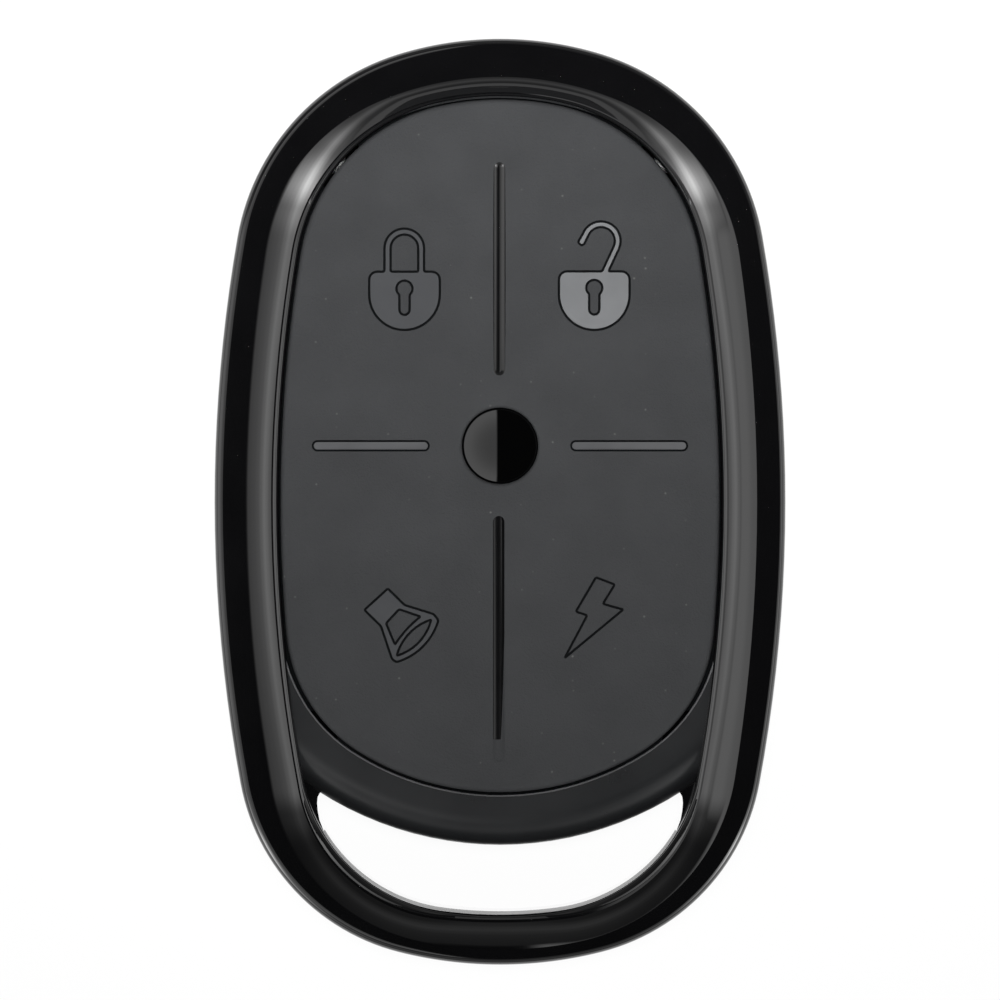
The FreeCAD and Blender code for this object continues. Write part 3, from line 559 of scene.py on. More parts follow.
# A lighter copy of the polished silicone for the open padlock's body: painted highlight in its colour.
painted_lit_silicone = finish("polished_silicone_painted_lighter", (0.09, 0.092, 0.095), 0.36, grain=0.3,
                      grain_depth=0.002, tone=0.12, shine=0.25)
# Nearly black silicone: painted shade in the icon grooves, on the walls of the side bars and on the web
# under the keypad.
groove_silicone_painted_shade = finish("groove_silicone_painted_shade", (0.003, 0.0033, 0.0036), 0.6, grain=0.11,
                         grain_depth=0.004, shine=0.1)
bar_silicone = finish("bar_silicone", (0.05, 0.051, 0.053), 0.45, grain=0.3,
                      grain_depth=0.004, dust=0.1)
bar_black = finish("bar_black_plastic", (0.0016, 0.0016, 0.0018), 0.2, grain=0.9,
                   grain_depth=0.0004, shine=0.8)
smoked_lens = finish("smoked_lens", (0.0003, 0.0003, 0.00035), 0.03, grain=1.5,
                     grain_depth=0.0003, uneven=0.02, lacquer=1.0)
board_laminate = finish("board_laminate", (0.012, 0.09, 0.035), 0.3, grain=0.3,
                        grain_depth=0.006, tone=0.25)
black_nylon = finish("black_nylon", (0.012, 0.012, 0.013), 0.45, grain=0.08, grain_depth=0.004,
                     wear=0.4)
black_epoxy = finish("black_epoxy", (0.016, 0.016, 0.017), 0.5, grain=0.06, grain_depth=0.004)
nickel_steel = finish("nickel_plated_steel", (0.6, 0.57, 0.52), 0.28, metallic=1.0, grain=0.2,
                      grain_depth=0.002, brushed=1.0, wear=0.3, wear_colour=(0.7, 0.68, 0.64))
spring_steel = finish("spring_steel", (0.5, 0.5, 0.5), 0.25, metallic=1.0, grain=0.1,
                      grain_depth=0.001, brushed=1.0)
cell_steel = finish("cell_steel", (0.66, 0.66, 0.66), 0.24, metallic=1.0, grain=0.15,
                    grain_depth=0.002, brushed=2.0, wear=0.3, wear_colour=(0.8, 0.8, 0.8))
tinned_metal = finish("tinned_metal", (0.7, 0.7, 0.7), 0.32, metallic=1.0, grain=0.12,
                      grain_depth=0.003)
screw_steel = finish("screw_steel", (0.09, 0.09, 0.095), 0.34, metallic=1.0, grain=0.1,
                     grain_depth=0.003, wear=0.7, wear_colour=(0.5, 0.5, 0.48))
ceramic_package = finish("ceramic_package", (0.5, 0.48, 0.42), 0.4, grain=0.08,
                         grain_depth=0.003)
tan_ceramic = finish("tan_ceramic", (0.36, 0.24, 0.13), 0.45, grain=0.07, grain_depth=0.003)
resistor_glaze = finish("resistor_glaze", (0.02, 0.02, 0.022), 0.25, grain=0.2,
                        grain_depth=0.002)
lamp_resin = finish("lamp_resin", (0.75, 0.72, 0.6), 0.12, grain=0.3, grain_depth=0.001)


def print_copper_tracks(material):
    """Copper tracks show through the board's green mask as lighter lines."""
    tree = material.node_tree
    shader = tree.nodes["Principled BSDF"]
    place = node(tree, "ShaderNodeTexCoord").outputs["Object"]
    cells = node(
        tree,
        "ShaderNodeTexVoronoi",
        {"Vector": place, "Scale": 420.0, "Randomness": 0.75},
        feature="DISTANCE_TO_EDGE",
    )
    track = maths(tree, "MULTIPLY_ADD", cells.outputs["Distance"], -18.0, 1.6, clamp=True)
    mask_colour = shader.inputs["Base Color"].links[0].from_socket
    lighter = mixed(tree, maths(tree, "MULTIPLY", track, 0.6), mask_colour, (0.05, 0.2, 0.07))
    tree.links.new(lighter, shader.inputs["Base Color"])


print_copper_tracks(board_laminate)

# Front shell: the ring with its crown, slope and inner wall, and the deck at the body's end

CASE_TOP = 13.0
PARTING = 6.0
PARTING_CHAMFER = 0.1
FRONT_EDGE = 0.5
DECK = 11.5
DECK_EDGE = 2.0
ROOF = 10.0
SLOPE_DROP = 0.9
SLOPE_START = 0.5
SLOPE_RINGS = 9
BEVEL_WIDTH = 0.13
BEVEL_TILT = 42.0
INNER_EDGE = 0.5
INNER_EDGE_RINGS = 6
STEP = 0.001  # between loops that must not lie at one height
SUPPORT = 0.06  # a loop this near a rounding keeps the wall beside it flat
OVERLAP = 0.02
DECK_FOOT = PARTING + OVERLAP
PAD_SEAT = 9.4
FRONT_SMOOTH = 13


def slope_height(share):
    """The slope starts shallow at the crown and steepens towards the keypad."""
    return CASE_TOP - SLOPE_DROP * (SLOPE_START * share + (1 - SLOPE_START) * share ** 2)


# Where the ring's inner wall meets the end of the body, on the right-hand side
HORN_WEB = [(13.5, -17.5), (13.2, -20.0), (12.2, -22.0), (11.3, -21.8), (11.5, -21.35),
            (11.75, -20.7), (11.86, -20.1), (11.9, -19.6), (11.86, -19.2), (11.72, -18.95),
            (11.4, -18.7), (11.5, -18.0)]

front = new_piece("front_shell_face")
sweep_round(
    CASE,
    [(1.0, PARTING), (PARTING_CHAMFER, PARTING), (0, PARTING + PARTING_CHAMFER), (0, 9.0),
     (0, CASE_TOP - FRONT_EDGE - 0.05)]
    + rounded((FRONT_EDGE, CASE_TOP - FRONT_EDGE), FRONT_EDGE, 180, 90, 12)
    + [(FRONT_EDGE + SUPPORT, CASE_TOP)],
)
last = CASE_TOP - STEP
sweep_round(CROWN, [(-SUPPORT, last), (0, last - STEP)])
bridge(front, CASE_TOP, last)
last -= STEP
for ring in range(1, SLOPE_RINGS + 1):
    share = ring / SLOPE_RINGS
    sweep_round(between(CROWN, SLOPE_FOOT, share), [(0, slope_height(share))])
    bridge(front, last, slope_height(share))
    last = slope_height(share)
bevel_fall = BEVEL_WIDTH * math.tan(math.radians(BEVEL_TILT))
for oval, fall in ((BEVEL_OUTER, 0.012), (BEVEL_INNER, bevel_fall)):
    sweep_round(oval, [(0, last - fall)])
    bridge(front, last, last - fall)
    last -= fall
bevel_end = last
first_turn = math.radians(BEVEL_TILT + 8)
for ring in range(INNER_EDGE_RINGS + 1):
    turn = first_turn + (math.pi / 2 - first_turn) * ring / INNER_EDGE_RINGS
    share = (math.sin(turn) - math.sin(first_turn) + 0.02) / (1 - math.sin(first_turn) + 0.02)
    height = bevel_end - 0.03 - INNER_EDGE * (math.cos(first_turn) - math.cos(turn))
    sweep_round(between(BEVEL_INNER, RING_WALL, share), [(0, height)])
    bridge(front, last, height)
    last = height
sweep_round(
    RING_WALL,
    [(0, last - SUPPORT), (0, PARTING + PARTING_CHAMFER), (-PARTING_CHAMFER, PARTING),
     (-0.8, PARTING)],
)
bridge(front, last, last - SUPPORT)
bridge(front, PARTING)
close_piece(front, FRONT_SMOOTH)
give(front, gloss_black, satin_black)
# The ring's inner wall is satin; a rounded square between the walls tells it from the outer one
for face in front.data.polygons:
    x, y, z = face.center / MM
    inside_the_ring = abs(x / 16.0) ** 3 + abs(y / 28.0) ** 3 < 1
    if abs(face.normal.z) < 0.1 and z < bevel_end - 0.3 and inside_the_ring:
        face.material_index = 1

deck = new_piece("deck")
sweep_round(
    BODY_END,
    [(1.0, DECK_FOOT), (0, DECK_FOOT), (0, 8.0)]
    + rounded((DECK_EDGE, DECK - DECK_EDGE), DECK_EDGE, 180, 90, 12),
)
sweep_round(
    PAD_OPENING,
    [(-0.09, DECK - STEP), (0, DECK - SUPPORT), (0, PAD_SEAT), (-1.0, PAD_SEAT)],
)
bridge(deck, DECK, DECK - STEP)
bridge(deck, DECK_FOOT, PAD_SEAT)
close_piece(deck)
give(deck, satin_black, painted_highlight_edge)
# The tilted faces along the deck's top edges get the lighter black: a painted highlight.
for face in deck.data.polygons:
    if face.center.z > (DECK - SUPPORT - STEP) * MM and 0.3 < face.normal.z < 0.9:
        face.material_index = 1
combine(front, deck, "UNION")
webs = [upright(f"web_{side}", [(side * x, y) for x, y in HORN_WEB], DECK_FOOT, PAD_SEAT)
        for side in (-1, 1)]
for web in webs:
    give(web, gloss_black)
    combine(front, web, "UNION")
cavity = block("cavity", FRONT_CAVITY, [(0, 4.0), (0, ROOF)])
give(cavity, satin_black)
combine(front, cavity)
drop(deck, cavity, *webs)
smooth(front, FRONT_SMOOTH)
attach(front, "case")
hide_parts("front_shell")

# Back shell: one moulding with the loop's opening, its cavity and the screw wells

BACK_EDGE = 2.6
LOOP_EDGE = 0.7
FLOOR = 1.5
SCREW_PLACES = ((11.15, 22.5), (-11.15, 22.5), (12.6, -15.4), (-12.6, -15.4))
WELL_RADIUS = 1.7
WELL_DEPTH = 1.3
SCREW_HOLE = 1.05
BOSS_RADIUS = 1.8

back = block(
    "back_shell",
    CASE,
    [(BACK_EDGE + 0.3, 0.0)]
    + rounded((BACK_EDGE, BACK_EDGE), BACK_EDGE, 270, 180, 14)
    + [(0, PARTING - PARTING_CHAMFER - STEP), (PARTING_CHAMFER, PARTING - STEP)],
)
give(back, gloss_black)
opening = block(
    "opening",
    RING_WALL,
    [(-LOOP_EDGE, -1.0)] + rounded((-LOOP_EDGE, LOOP_EDGE), LOOP_EDGE, -90, 0, 8)
    + [(0, LOOP_EDGE + SUPPORT), (0, 8.0)],
)
end_of_body = block(
    "end_of_body",
    BODY_END,
    [(LOOP_EDGE, -2.0)] + rounded((LOOP_EDGE, LOOP_EDGE), LOOP_EDGE, 270, 180, 8) + [(0, 9.0)],
)
combine(opening, end_of_body)
for side in (-1, 1):
    web = upright("web", [(side * x, y) for x, y in HORN_WEB], -2.0, 9.0)
    combine(opening, web)
    drop(web)
give(opening, spark_textured_black)
combine(back, opening)
back_cavity = block("back_cavity", BACK_CAVITY, [(0, FLOOR), (0, 8.0)])
combine(back, back_cavity)
for x, y in SCREW_PLACES:
    boss = turned(
        "boss",
        [(0, FLOOR - 0.2), (BOSS_RADIUS, FLOOR - 0.2), (BOSS_RADIUS, PARTING - OVERLAP),
         (0, PARTING - OVERLAP)],
        (x, y), 48,
    )
    well = turned(
        "well",
        [(0, -1.0), (WELL_RADIUS + 1.2, -1.0), (WELL_RADIUS + 0.15, 0.0), (WELL_RADIUS, 0.15),
         (WELL_RADIUS, WELL_DEPTH), (SCREW_HOLE, WELL_DEPTH), (SCREW_HOLE, 8.0), (0, 8.0)],
        (x, y), 64,
    )
    combine(back, boss, "UNION")
    combine(back, well)
    drop(boss, well)
drop(opening, end_of_body, back_cavity)
smooth(back, 22)
for face in back.data.polygons:
    if face.normal.z < -0.9 and face.center.z < 0.2 * MM:
        face.material_index = 1
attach(back, "case")
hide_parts("rear_shell")

# Screws with a cross recess

HEAD_BOTTOM = 0.3
screw = turned(
    "screw",
    [(0, HEAD_BOTTOM), (1.1, HEAD_BOTTOM)]
    + rounded((1.2, HEAD_BOTTOM + 0.35), 0.35, 270, 360, 6)
    + [(1.55, 1.3), (0.72, 1.3)]
    + [(radius, 1.45 + 0.55 * turn + rise)
       for turn in range(11) for radius, rise in ((0.72, 0.0), (0.9, 0.2), (0.9, 0.28))]
    + [(0.72, 7.5), (0, 8.28)],
    (0, 0), 48,
)
cross = new_piece("cross")
arm, blade, point_size = 0.85, 0.17, 0.55
plus = [(arm, -blade), (arm, blade), (blade, blade), (blade, arm), (-blade, arm), (-blade, blade),
        (-arm, blade), (-arm, -blade), (-blade, -blade), (-blade, -arm), (blade, -arm),
        (blade, -blade)]
extrude_outline(plus, HEAD_BOTTOM - 0.2, 0.95)
bpy.ops.transform.resize(value=(point_size, point_size, 1), center_override=(0, 0, 0))
close_piece(cross)
combine(screw, cross)
drop(cross)
smooth(screw, 35)
give(screw, screw_steel)
screws = [copy_of(screw, f"case_screw_{number}", (x, y, 0))
          for number, (x, y) in enumerate(SCREW_PLACES, start=1)]
drop(screw)
for piece in screws:
    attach(piece, "case")
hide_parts("case_screws")

# Keypad face: one soft moulding, in four quarters that meet along the sunk bars

KEY_BOTTOM = 10.4
PAD_CROWN = 12.3
PAD_EDGE = 0.35
ARCH_ACROSS = 252.0
ARCH_ALONG = 600.0
QUARTERS = {"lock": (-1, 1), "unlock": (1, 1), "siren": (-1, -1), "flash": (1, -1)}
NUB_PLACES = {1: (6.2, 13.625), -1: (6.2, -7.575)}
NUB_RADIUS = 2.3
NUB_FOOT = 9.6


def face_height(x, y):
    """Height of the keypad's arched face at a place."""
    return PAD_CROWN - x ** 2 / (2 * ARCH_ACROSS) - (y - LENS_Y) ** 2 / (2 * ARCH_ALONG)


keypad = new_piece("keypad")
sweep_round(
    PAD,
    [(0, KEY_BOTTOM), (0, KEY_BOTTOM + 0.8)]
    + rounded((PAD_EDGE, PAD_CROWN - PAD_EDGE), PAD_EDGE, 180, 90, 6),
)
cap(keypad, KEY_BOTTOM)
select_loops(keypad, [PAD_CROWN])
middle = (0, LENS_Y * MM, PAD_CROWN * MM)
for size in (0.985, 0.97, 0.96, 0.95, 0.94, 0.93, 0.92, 0.9, 0.89, 0.87, 0.85, 0.8, 0.75, 0.6):
    bpy.ops.mesh.extrude_edges_move()
    bpy.ops.transform.resize(value=(size, size, 1), center_override=middle)
bpy.ops.mesh.merge(type="CENTER")
select_points(keypad, lambda point: point.z > KEY_BOTTOM + 1)
mesh = bmesh.from_edit_mesh(keypad.data)
for point in mesh.verts:
    if point.select:
        x, y = point.co.x / MM, point.co.y / MM
        point.co.z += (face_height(x, y) - PAD_CROWN) * MM
bmesh.update_edit_mesh(keypad.data)
close_piece(keypad)
give(keypad, keypad_silicone)


def soften(outline, cut=0.12):
    """Round the sharp corners of a closed outline."""
    points = []
    for number, corner in enumerate(outline):
        before = Vector(outline[number - 1])
        after = Vector(outline[(number + 1) % len(outline)])
        corner = Vector(corner)
        back_way, on_way = before - corner, after - corner
        if back_way.angle(-on_way) < math.radians(24):
            points.append(tuple(corner))
            continue
        start = corner + back_way.normalized() * min(cut, back_way.length * 0.4)
        end = corner + on_way.normalized() * min(cut, on_way.length * 0.4)
        for step in range(6):
            share = step / 5
            point = start * (1 - share) ** 2 + corner * 2 * share * (1 - share) + end * share ** 2
            points.append(tuple(point))
    return points


def arc_through(start, middle, end, steps=10):
    """Points of the arc that runs from one place through a second to a third."""
    (ax, ay), (bx, by), (cx, cy) = start, middle, end
    turn = 2 * (ax * (by - cy) + bx * (cy - ay) + cx * (ay - by))
    a2, b2, c2 = ax ** 2 + ay ** 2, bx ** 2 + by ** 2, cx ** 2 + cy ** 2
    x = (a2 * (by - cy) + b2 * (cy - ay) + c2 * (ay - by)) / turn
    y = (a2 * (cx - bx) + b2 * (ax - cx) + c2 * (bx - ax)) / turn
    first = math.degrees(math.atan2(ay - y, ax - x))
    last = math.degrees(math.atan2(cy - y, cx - x))
    if turn > 0 and last < first:
        last += 360
    if turn < 0 and last > first:
        last -= 360
    return rounded((x, y), math.hypot(ax - x, ay - y), first, last, steps)


def channel(name, points, radius, sink, closed=True, round_ends=True, fineness=5):
    """A round-bottomed cutter along a line on the keypad's face, its axis sunk below it."""
    piece = new_piece(name)
    line = points + points[:1] if closed else points
    draw_line([(x, y, face_height(x, y) - sink) for x, y in line])
    bpy.ops.mesh.select_all(action="SELECT")
    bpy.ops.mesh.remove_doubles(threshold=0.003 * MM)
    bpy.ops.object.mode_set(mode="OBJECT")
    choose(piece)
    bpy.ops.object.convert(target="CURVE")
    curve = bpy.context.object.data
    curve.dimensions = "3D"
    curve.twist_mode = "Z_UP"
    curve.bevel_depth = radius * MM
    curve.bevel_resolution = fineness
    curve.use_fill_caps = True
    if round_ends and not closed:
        line_points = curve.splines[0].points
        start = Vector(line_points[0].co[:3])
        end = Vector(line_points[-1].co[:3])
        for point in line_points:
            place = Vector(point.co[:3])
            near = min((place - start).length, (place - end).length) / MM
            point.radius = math.sqrt(max(1 - max(1 - near / radius, 0) ** 2, 0.0004))
    bpy.ops.object.convert(target="MESH")
    piece = bpy.context.object
    piece.name = name
    bpy.ops.object.mode_set(mode="EDIT")
    close_piece(piece)
    return piece


def rounded_run(start, end, radius):
    """Places along a bar, close together near its ends for their round shape."""
    length = math.dist(start, end)
    way = [(b - a) / length for a, b in zip(start, end)]
    near = [radius * (1 - math.cos(math.radians(turn))) for turn in (0, 18, 36, 54, 72, 90)]
    steps = near + [length - step for step in reversed(near)]
    return [(start[0] + way[0] * step, start[1] + way[1] * step) for step in steps]


def slot_block(name, low, high, half_width, depth, bottom_depth=None):
    """A bar-shaped block with round ends, from its depth in the face upwards or downwards."""
    piece = new_piece(name)
    along_x = low[1] == high[1]
    turn = 0 if along_x else 90
    points = rounded(high, half_width, turn - 90, turn + 90, 16)
    points += rounded(low, half_width, turn + 90, turn + 270, 16)
    level = face_height((low[0] + high[0]) / 2, (low[1] + high[1]) / 2)
    rise = depth - bottom_depth if bottom_depth else depth + 0.6
    extrude_outline(points, level - depth, rise)
    close_piece(piece)
    return piece


lens_well = turned(
    "lens_well",
    [(0, 9.5), (2.47, 9.5), (2.47, 11.9)]
    + rounded((2.77, 12.0), 0.3, 180, 95, 8)
    + [(3.4, 12.42), (3.4, 12.8), (0, 12.8)],
    (0, LENS_Y),
)
give(lens_well, keypad_silicone)

BAR_HALF = 0.37
BAR_GROOVE = 0.13
BAR_CLEAR = 4.55
BAR_RADIUS = 0.52
BAR_RISE = 0.36
ROUND_END = 0.15
top_bar = channel(
    "top_bar",
    rounded_run((-0.04, LENS_Y + BAR_CLEAR - ROUND_END), (-0.04, 22.02 + ROUND_END), BAR_RADIUS),
    BAR_RADIUS, -BAR_RISE, closed=False, fineness=26,
)
bead = channel("bead", [(-0.25, LENS_Y), (-0.25, -15.4)], 1.0, 1.08,
               closed=False, round_ends=False, fineness=40)
bottom_bar = slot_block("bottom_bar", (-0.08, -16.5), (-0.08, LENS_Y - BAR_CLEAR - BAR_HALF),
                        BAR_HALF, 0.3)
give(top_bar, bar_black)
give(bead, bar_black)
give(bottom_bar, keypad_silicone)
combine(bottom_bar, bead)
cutters = [top_bar, bottom_bar]
for name, low, high in (
    ("left_bar", (-12.2 + BAR_HALF, LENS_Y), (-BAR_CLEAR - BAR_HALF, LENS_Y)),
    ("right_bar", (BAR_CLEAR + BAR_HALF, LENS_Y), (12.2 - BAR_HALF, LENS_Y)),
):
    bar = slot_block(name, low, high, BAR_HALF, 0.42)
    # The bar's walls get the nearly black silicone: painted shade in the slot.
    give(bar, groove_silicone_painted_shade)
    island = slot_block("island", low, high, BAR_HALF - BAR_GROOVE, 0.24, bottom_depth=1.0)
    give(island, bar_silicone)
    combine(bar, island)
    drop(island)
    cutters.append(bar)

LOCK_X = -6.19
OPEN_X = 6.11


def padlock_body(x, top, shackle):
    """Outline of a padlock's body with its shackle, anticlockwise from the top right."""
    right = rounded((x + 1.77, top - 0.52), 0.52, 90, 0, 5)[::-1]
    left = rounded((x - 1.77, top - 0.52), 0.52, 180, 90, 5)[::-1]
    bowl = rounded((x, 13.42), 2.29, 180, 360, 28)
    return shackle + left + bowl + right


def keyhole(x, y, foot):
    bow = rounded((x, y), 0.52, -50, 230, 18)
    return bow + rounded((x, foot + 0.33), 0.33, 180, 360, 10)


HOOK = (6.548, 16.904)
hook = (
    [(7.032, 14.93)]
    + rounded(HOOK, 1.271, -25, 160, 16)
    + [(5.05, 16.82), (5.28, 16.6), (5.465, 16.71)]
    + rounded(HOOK, 0.895, 160, -25, 14)
    + [(6.617, 14.93)]
)
SYMBOLS = {
    "lock": (
        [padlock_body(LOCK_X, 14.91, [(-4.92, 14.91)] + rounded((-6.205, 16.42), 1.285, 0, 180, 20)
                      + [(-7.49, 14.91)]),
         [(-7.09, 14.91), (-5.3, 14.91)] + rounded((-6.195, 16.42), 0.895, 0, 180, 16),
         keyhole(LOCK_X, 13.81, 12.11)],
        (LOCK_X - 1.6, 13.2), polished_silicone,
    ),
    "unlock": (
        [padlock_body(OPEN_X, 14.93, hook), keyhole(OPEN_X, 13.86, 12.13)],
        # The open padlock's body takes the lighter polished silicone: painted highlight.
        (OPEN_X - 1.6, 13.2), painted_lit_silicone,
    ),
    "siren": (
        [[(-7.27, -5.63), (-8.79, -7.02), (-7.72, -8.06), (-7.0, -10.2)]
         + arc_through((-6.72, -10.4), (-5.06, -9.45), (-3.99, -7.68), 14)
         + [(-4.3, -7.28), (-6.18, -6.7)],
         [(-6.54, -6.97), (-7.38, -7.88), (-6.81, -9.27)]
         + arc_through((-6.81, -9.27), (-6.17, -8.41), (-5.15, -7.45), 8)[1:],
         arc_through((-4.45, -7.63), (-5.83, -8.48), (-6.7, -9.99), 9)
         + arc_through((-6.7, -9.99), (-5.2, -9.05), (-4.45, -7.63), 9)[1:-1]],
        (-7.9, -6.9), polished_silicone,
    ),
    "flash": (
        [[(6.22, -4.9), (4.92, -7.12), (5.65, -7.37), (4.19, -10.13), (7.99, -6.99),
          (6.67, -6.62), (7.44, -5.37)]],
        (6.2, -6.6), keypad_silicone,
    ),
}
GROOVE_RADIUS = 0.085
GROOVE_SINK = 0.025


def finish_inside(piece, place, material):
    """Give the face that holds a place its own finish, as far as the grooves round it."""
    index = piece.data.materials.find(material.name)
    if index < 0:
        give(piece, material)
        index = len(piece.data.materials) - 1
    target = Vector((place[0], place[1], face_height(*place))) * MM
    choose(piece)
    bpy.ops.object.mode_set(mode="EDIT")
    bpy.ops.mesh.select_mode(type="FACE")
    bpy.ops.mesh.select_all(action="DESELECT")
    bpy.ops.object.mode_set(mode="OBJECT")
    nearest = min((face for face in piece.data.polygons if face.normal.z > 0.9),
                  key=lambda face: (face.center - target).length)
    nearest.select = True
    bpy.ops.object.mode_set(mode="EDIT")
    bpy.ops.mesh.select_linked(delimit={"MATERIAL"})
    piece.active_material_index = index
    bpy.ops.object.material_slot_assign()
    bpy.ops.mesh.select_mode(type="VERT")
    bpy.ops.object.mode_set(mode="OBJECT")


SEAM_X = 5.0
SEAM_Y = 6.0


def ease(share):
    share = min(max(share, 0), 1)
    return share * share * (3 - 2 * share)


def bend_with_key(piece, name):
    """The soft face stays with the case along the seams and follows the key further out."""
    side, end = QUARTERS[name]
    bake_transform(piece, "case", f"{name}_key", (0, 0, 0), (side * SEAM_X * MM, 0, 0))
    weights = piece.data.attributes["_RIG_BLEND"].data
    for point, weight in zip(piece.data.vertices, weights):
        x, y = point.co.x / MM, point.co.y / MM
        weight.value = ease(abs(x) / SEAM_X) * ease(abs(y - LENS_Y) / SEAM_Y)


for name, (side, end) in QUARTERS.items():
    key = copy_of(keypad, f"keypad_{name}")
    cut_half(key, (0, 0, 0), (-side, 0, 0))
    cut_half(key, (0, LENS_Y, 0), (0, -end, 0))
    combine(key, lens_well)
    for bar in cutters:
        low, high = bar.bound_box[0], bar.bound_box[6]
        if max(low[0] * side, high[0] * side) > 0:
            if max((low[1] / MM - LENS_Y) * end, (high[1] / MM - LENS_Y) * end) > 0:
                combine(key, bar)
    outlines, place, material = SYMBOLS[name]
    for number, outline in enumerate(outlines):
        groove = channel(f"{name}_groove_{number}", soften(outline), GROOVE_RADIUS, GROOVE_SINK)
        # The groove's faces get the nearly black silicone: painted shade in the groove.
        give(groove, groove_silicone_painted_shade)
        combine(key, groove, crosses_itself=True)
        drop(groove)
    finish_inside(key, place, material)
    x, y = NUB_PLACES[end]
    nub = turned(
        f"{name}_nub",
        [(0, NUB_FOOT), (NUB_RADIUS - 0.15, NUB_FOOT), (NUB_RADIUS, NUB_FOOT + 0.15),
         (NUB_RADIUS, KEY_BOTTOM + 0.3), (0, KEY_BOTTOM + 0.3)],
        (side * x, y), 48,
    )
    give(nub, keypad_silicone)
    combine(key, nub, "UNION")
    drop(nub)
    bpy.ops.object.mode_set(mode="EDIT")
    bpy.ops.mesh.select_all(action="SELECT")
    bpy.ops.mesh.remove_doubles(threshold=2 * WELD)
    bpy.ops.mesh.dissolve_degenerate(threshold=WELD)
    bpy.ops.object.mode_set(mode="OBJECT")
    smooth(key, 35)
    bend_with_key(key, name)
    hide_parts(f"key_{name}")
drop(lens_well, keypad, bead, *cutters)

# Status lens

lens = turned(
    "lens",
    [(0, 8.6), (2.0, 8.6), (2.0, 7.0), (3.2, 7.0), (3.2, 9.2), (2.43, 9.2), (2.43, 11.76)]
    + [(radius, 12.15 - radius ** 2 / (2 * 8.4)) for radius in (2.4, 2.0, 1.6, 1.2, 0.8, 0.4, 0)],
    (0, LENS_Y),
)
give(lens, smoked_lens)
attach(lens, "case")
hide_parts("status_lens")

# Finishes of the pieces carried over from the CAD model

CARRIED_OVER = {
    # The web under the keypad gets the nearly black silicone: painted shade.
    "keypad_web": groove_silicone_painted_shade,
    "status_led": lamp_resin,
    "circuit_board": board_laminate,
    "switch_covers": tinned_metal,
    "switch_terminals": tinned_metal,
    "coin_cell": cell_steel,
    "battery_clip": nickel_steel,
    "battery_contact": nickel_steel,
    "microcontroller": black_epoxy,
    "microcontroller_pins": tinned_metal,
    "saw_resonator": ceramic_package,
    "quartz_crystal": nickel_steel,
    "rf_transistor": black_epoxy,
    "chip_capacitors": tan_ceramic,
    "chip_resistors": resistor_glaze,
}
for name in QUARTERS:
    CARRIED_OVER[f"switch_housing_{name}"] = black_nylon
    CARRIED_OVER[f"switch_stem_{name}"] = black_nylon
    CARRIED_OVER[f"switch_dome_{name}"] = spring_steel
for name, material in CARRIED_OVER.items():
    carried = frame["nodes"][name]
    carried.data.materials.clear()
    give(carried, material)

# Table: white where it is seen or mirrored, and the object's shadow stays on it

SELF_LIT = 0.95

floor_material = bpy.data.materials.new("white_table")
floor_material.use_nodes = True
table = floor_material.node_tree
paint = table.nodes["Principled BSDF"]
place = node(table, "ShaderNodeTexCoord").outputs["Object"]
mottle = noise(table, place, 40.0, 3.0)
table.links.new(mixed(table, mottle, (0.86, 0.86, 0.86), (0.88, 0.88, 0.88)),
                paint.inputs["Base Color"])
paint.inputs["Roughness"].default_value = 0.9
glow = node(table, "ShaderNodeEmission")
path = node(table, "ShaderNodeLightPath")
seen = maths(table, "MAXIMUM", path.outputs["Is Camera Ray"], path.outputs["Is Glossy Ray"])
seen = maths(table, "MAXIMUM", seen, path.outputs["Is Transmission Ray"])
share = maths(table, "MULTIPLY", seen, SELF_LIT)
blended = node(table, "ShaderNodeMixShader", {0: share, 1: paint.outputs[0], 2: glow.outputs[0]})
table.links.new(blended.outputs[0], table.nodes["Material Output"].inputs["Surface"])
bpy.ops.object.select_all(action="DESELECT")
bpy.ops.mesh.primitive_plane_add(size=6, location=(0, 0, 0))
floor = bpy.context.object
floor.name = "table_top"
give(floor, floor_material)

# Studio light: strips low at both sides, a soft light close to overhead on the left

SIDE_STRENGTH = 5.25
NEAR_LEFT_STRENGTH = 1.15
LEAST_LIGHT = 0.01
LAMP_WATTS = 72.0
LAMP_NORTH = 0.06
LAMP_HEIGHT = 0.7
LAMP_POOL = 0.09

world = bpy.data.worlds.new("studio")
bpy.context.scene.world = world
world.use_nodes = True
sky = world.node_tree


def brightness(value, stops):
    """A brightness that changes with a value from 0 to 1, given as (place, brightness) stops."""
    ramp = sky.nodes.new("ShaderNodeValToRGB")
    ramp.color_ramp.interpolation = "EASE"
    elements = ramp.color_ramp.elements
    while len(elements) > 1:
        elements.remove(elements[-1])
    elements[0].position = stops[0][0]
    elements[0].color = (stops[0][1],) * 3 + (1,)
    for place, bright in stops[1:]:
        element = elements.new(place)
        element.color = (bright,) * 3 + (1,)
    sky.links.new(value, ramp.inputs[0])
    return ramp.outputs[0]


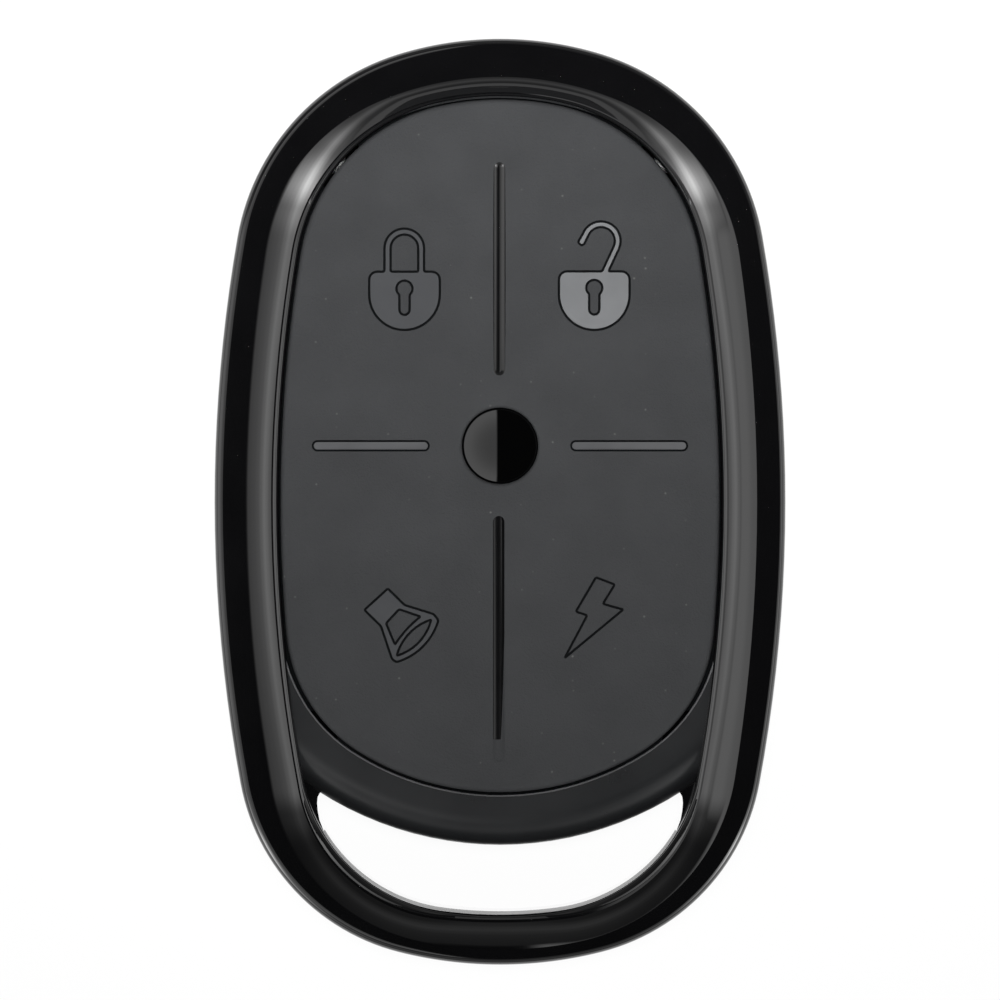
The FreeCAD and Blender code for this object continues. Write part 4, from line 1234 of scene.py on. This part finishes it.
direction = node(sky, "ShaderNodeTexCoord").outputs["Generated"]
east, north, up = node(sky, "ShaderNodeSeparateXYZ", {0: direction}).outputs
flat = maths(sky, "SQRT", maths(sky, "ADD", maths(sky, "MULTIPLY", east, east),
                                maths(sky, "MULTIPLY", north, north)))
bearing = maths(sky, "DIVIDE", north, maths(sky, "MAXIMUM", flat, 0.001))
bearing = maths(sky, "MULTIPLY_ADD", bearing, 0.5, 0.5)
around = brightness(bearing, [
    (0.0, 0.08), (0.07, 0.16), (0.15, 0.5), (0.25, 1.5), (0.32, 0.58), (0.4, 0.33), (0.5, 0.29),
    (0.58, 0.24), (0.66, 0.07), (0.75, 0.022), (0.88, 0.035), (1.0, 0.05),
])
rise = brightness(up, [
    (0.1, 0.13), (0.28, 0.3), (0.34, 0.55), (0.4, 0.85), (0.46, 1.0), (0.53, 0.72),
    (0.6, 0.5), (0.7, 0.4), (0.8, 0.33), (0.86, 0.0),
])
side_light = maths(sky, "MULTIPLY", maths(sky, "MULTIPLY", around, rise), SIDE_STRENGTH)
left_side = maths(sky, "MULTIPLY_ADD", east, -40.0, -1.4, clamp=True)
overhead = brightness(up, [(0.48, 0.0), (0.62, 1.0), (0.72, 1.0), (0.85, 0.82), (1.0, 0.46)])
near_left = maths(sky, "MULTIPLY", maths(sky, "MULTIPLY", left_side, overhead), NEAR_LEFT_STRENGTH)
middle_band = brightness(bearing, [(0.3, 0.0), (0.4, 1.0), (0.6, 1.0), (0.7, 0.0)])
top_of_sky = maths(sky, "MULTIPLY_ADD", up, 25.0, -20.2, clamp=True)
middle_band = maths(sky, "MAXIMUM", middle_band, top_of_sky)
near_left = maths(sky, "MULTIPLY", near_left, middle_band)
skyline = brightness(bearing, [
    (0.0, 0.5), (0.35, 0.7), (0.5, 1.1), (0.75, 1.5), (0.88, 0.9), (1.0, 0.3),
])
low_strip = maths(sky, "MULTIPLY_ADD", up, -12.0, 2.8, clamp=True)
horizon = maths(sky, "MULTIPLY", skyline, low_strip)
total = maths(sky, "ADD", maths(sky, "MAXIMUM", side_light, near_left), LEAST_LIGHT)
total = maths(sky, "MAXIMUM", total, horizon)
in_view = node(sky, "ShaderNodeLightPath").outputs["Is Camera Ray"]
total = maths(sky, "MAXIMUM", total, in_view)
background = sky.nodes["Background"]
sky.links.new(total, background.inputs["Strength"])
background.inputs["Color"].default_value = (1, 1, 1, 1)

lamp_data = bpy.data.lights.new("snooted_lamp", "SPOT")
lamp_data.energy = LAMP_WATTS
lamp_data.shadow_soft_size = 0.06
lamp_data.spot_size = 2 * math.atan(LAMP_POOL / LAMP_HEIGHT)
lamp_data.spot_blend = 1.0
lamp = bpy.data.objects.new("snooted_lamp", lamp_data)
lamp.location = (0, LAMP_NORTH, LAMP_HEIGHT)
lamp.visible_glossy = False
lamp.visible_camera = False
bpy.context.collection.objects.link(lamp)
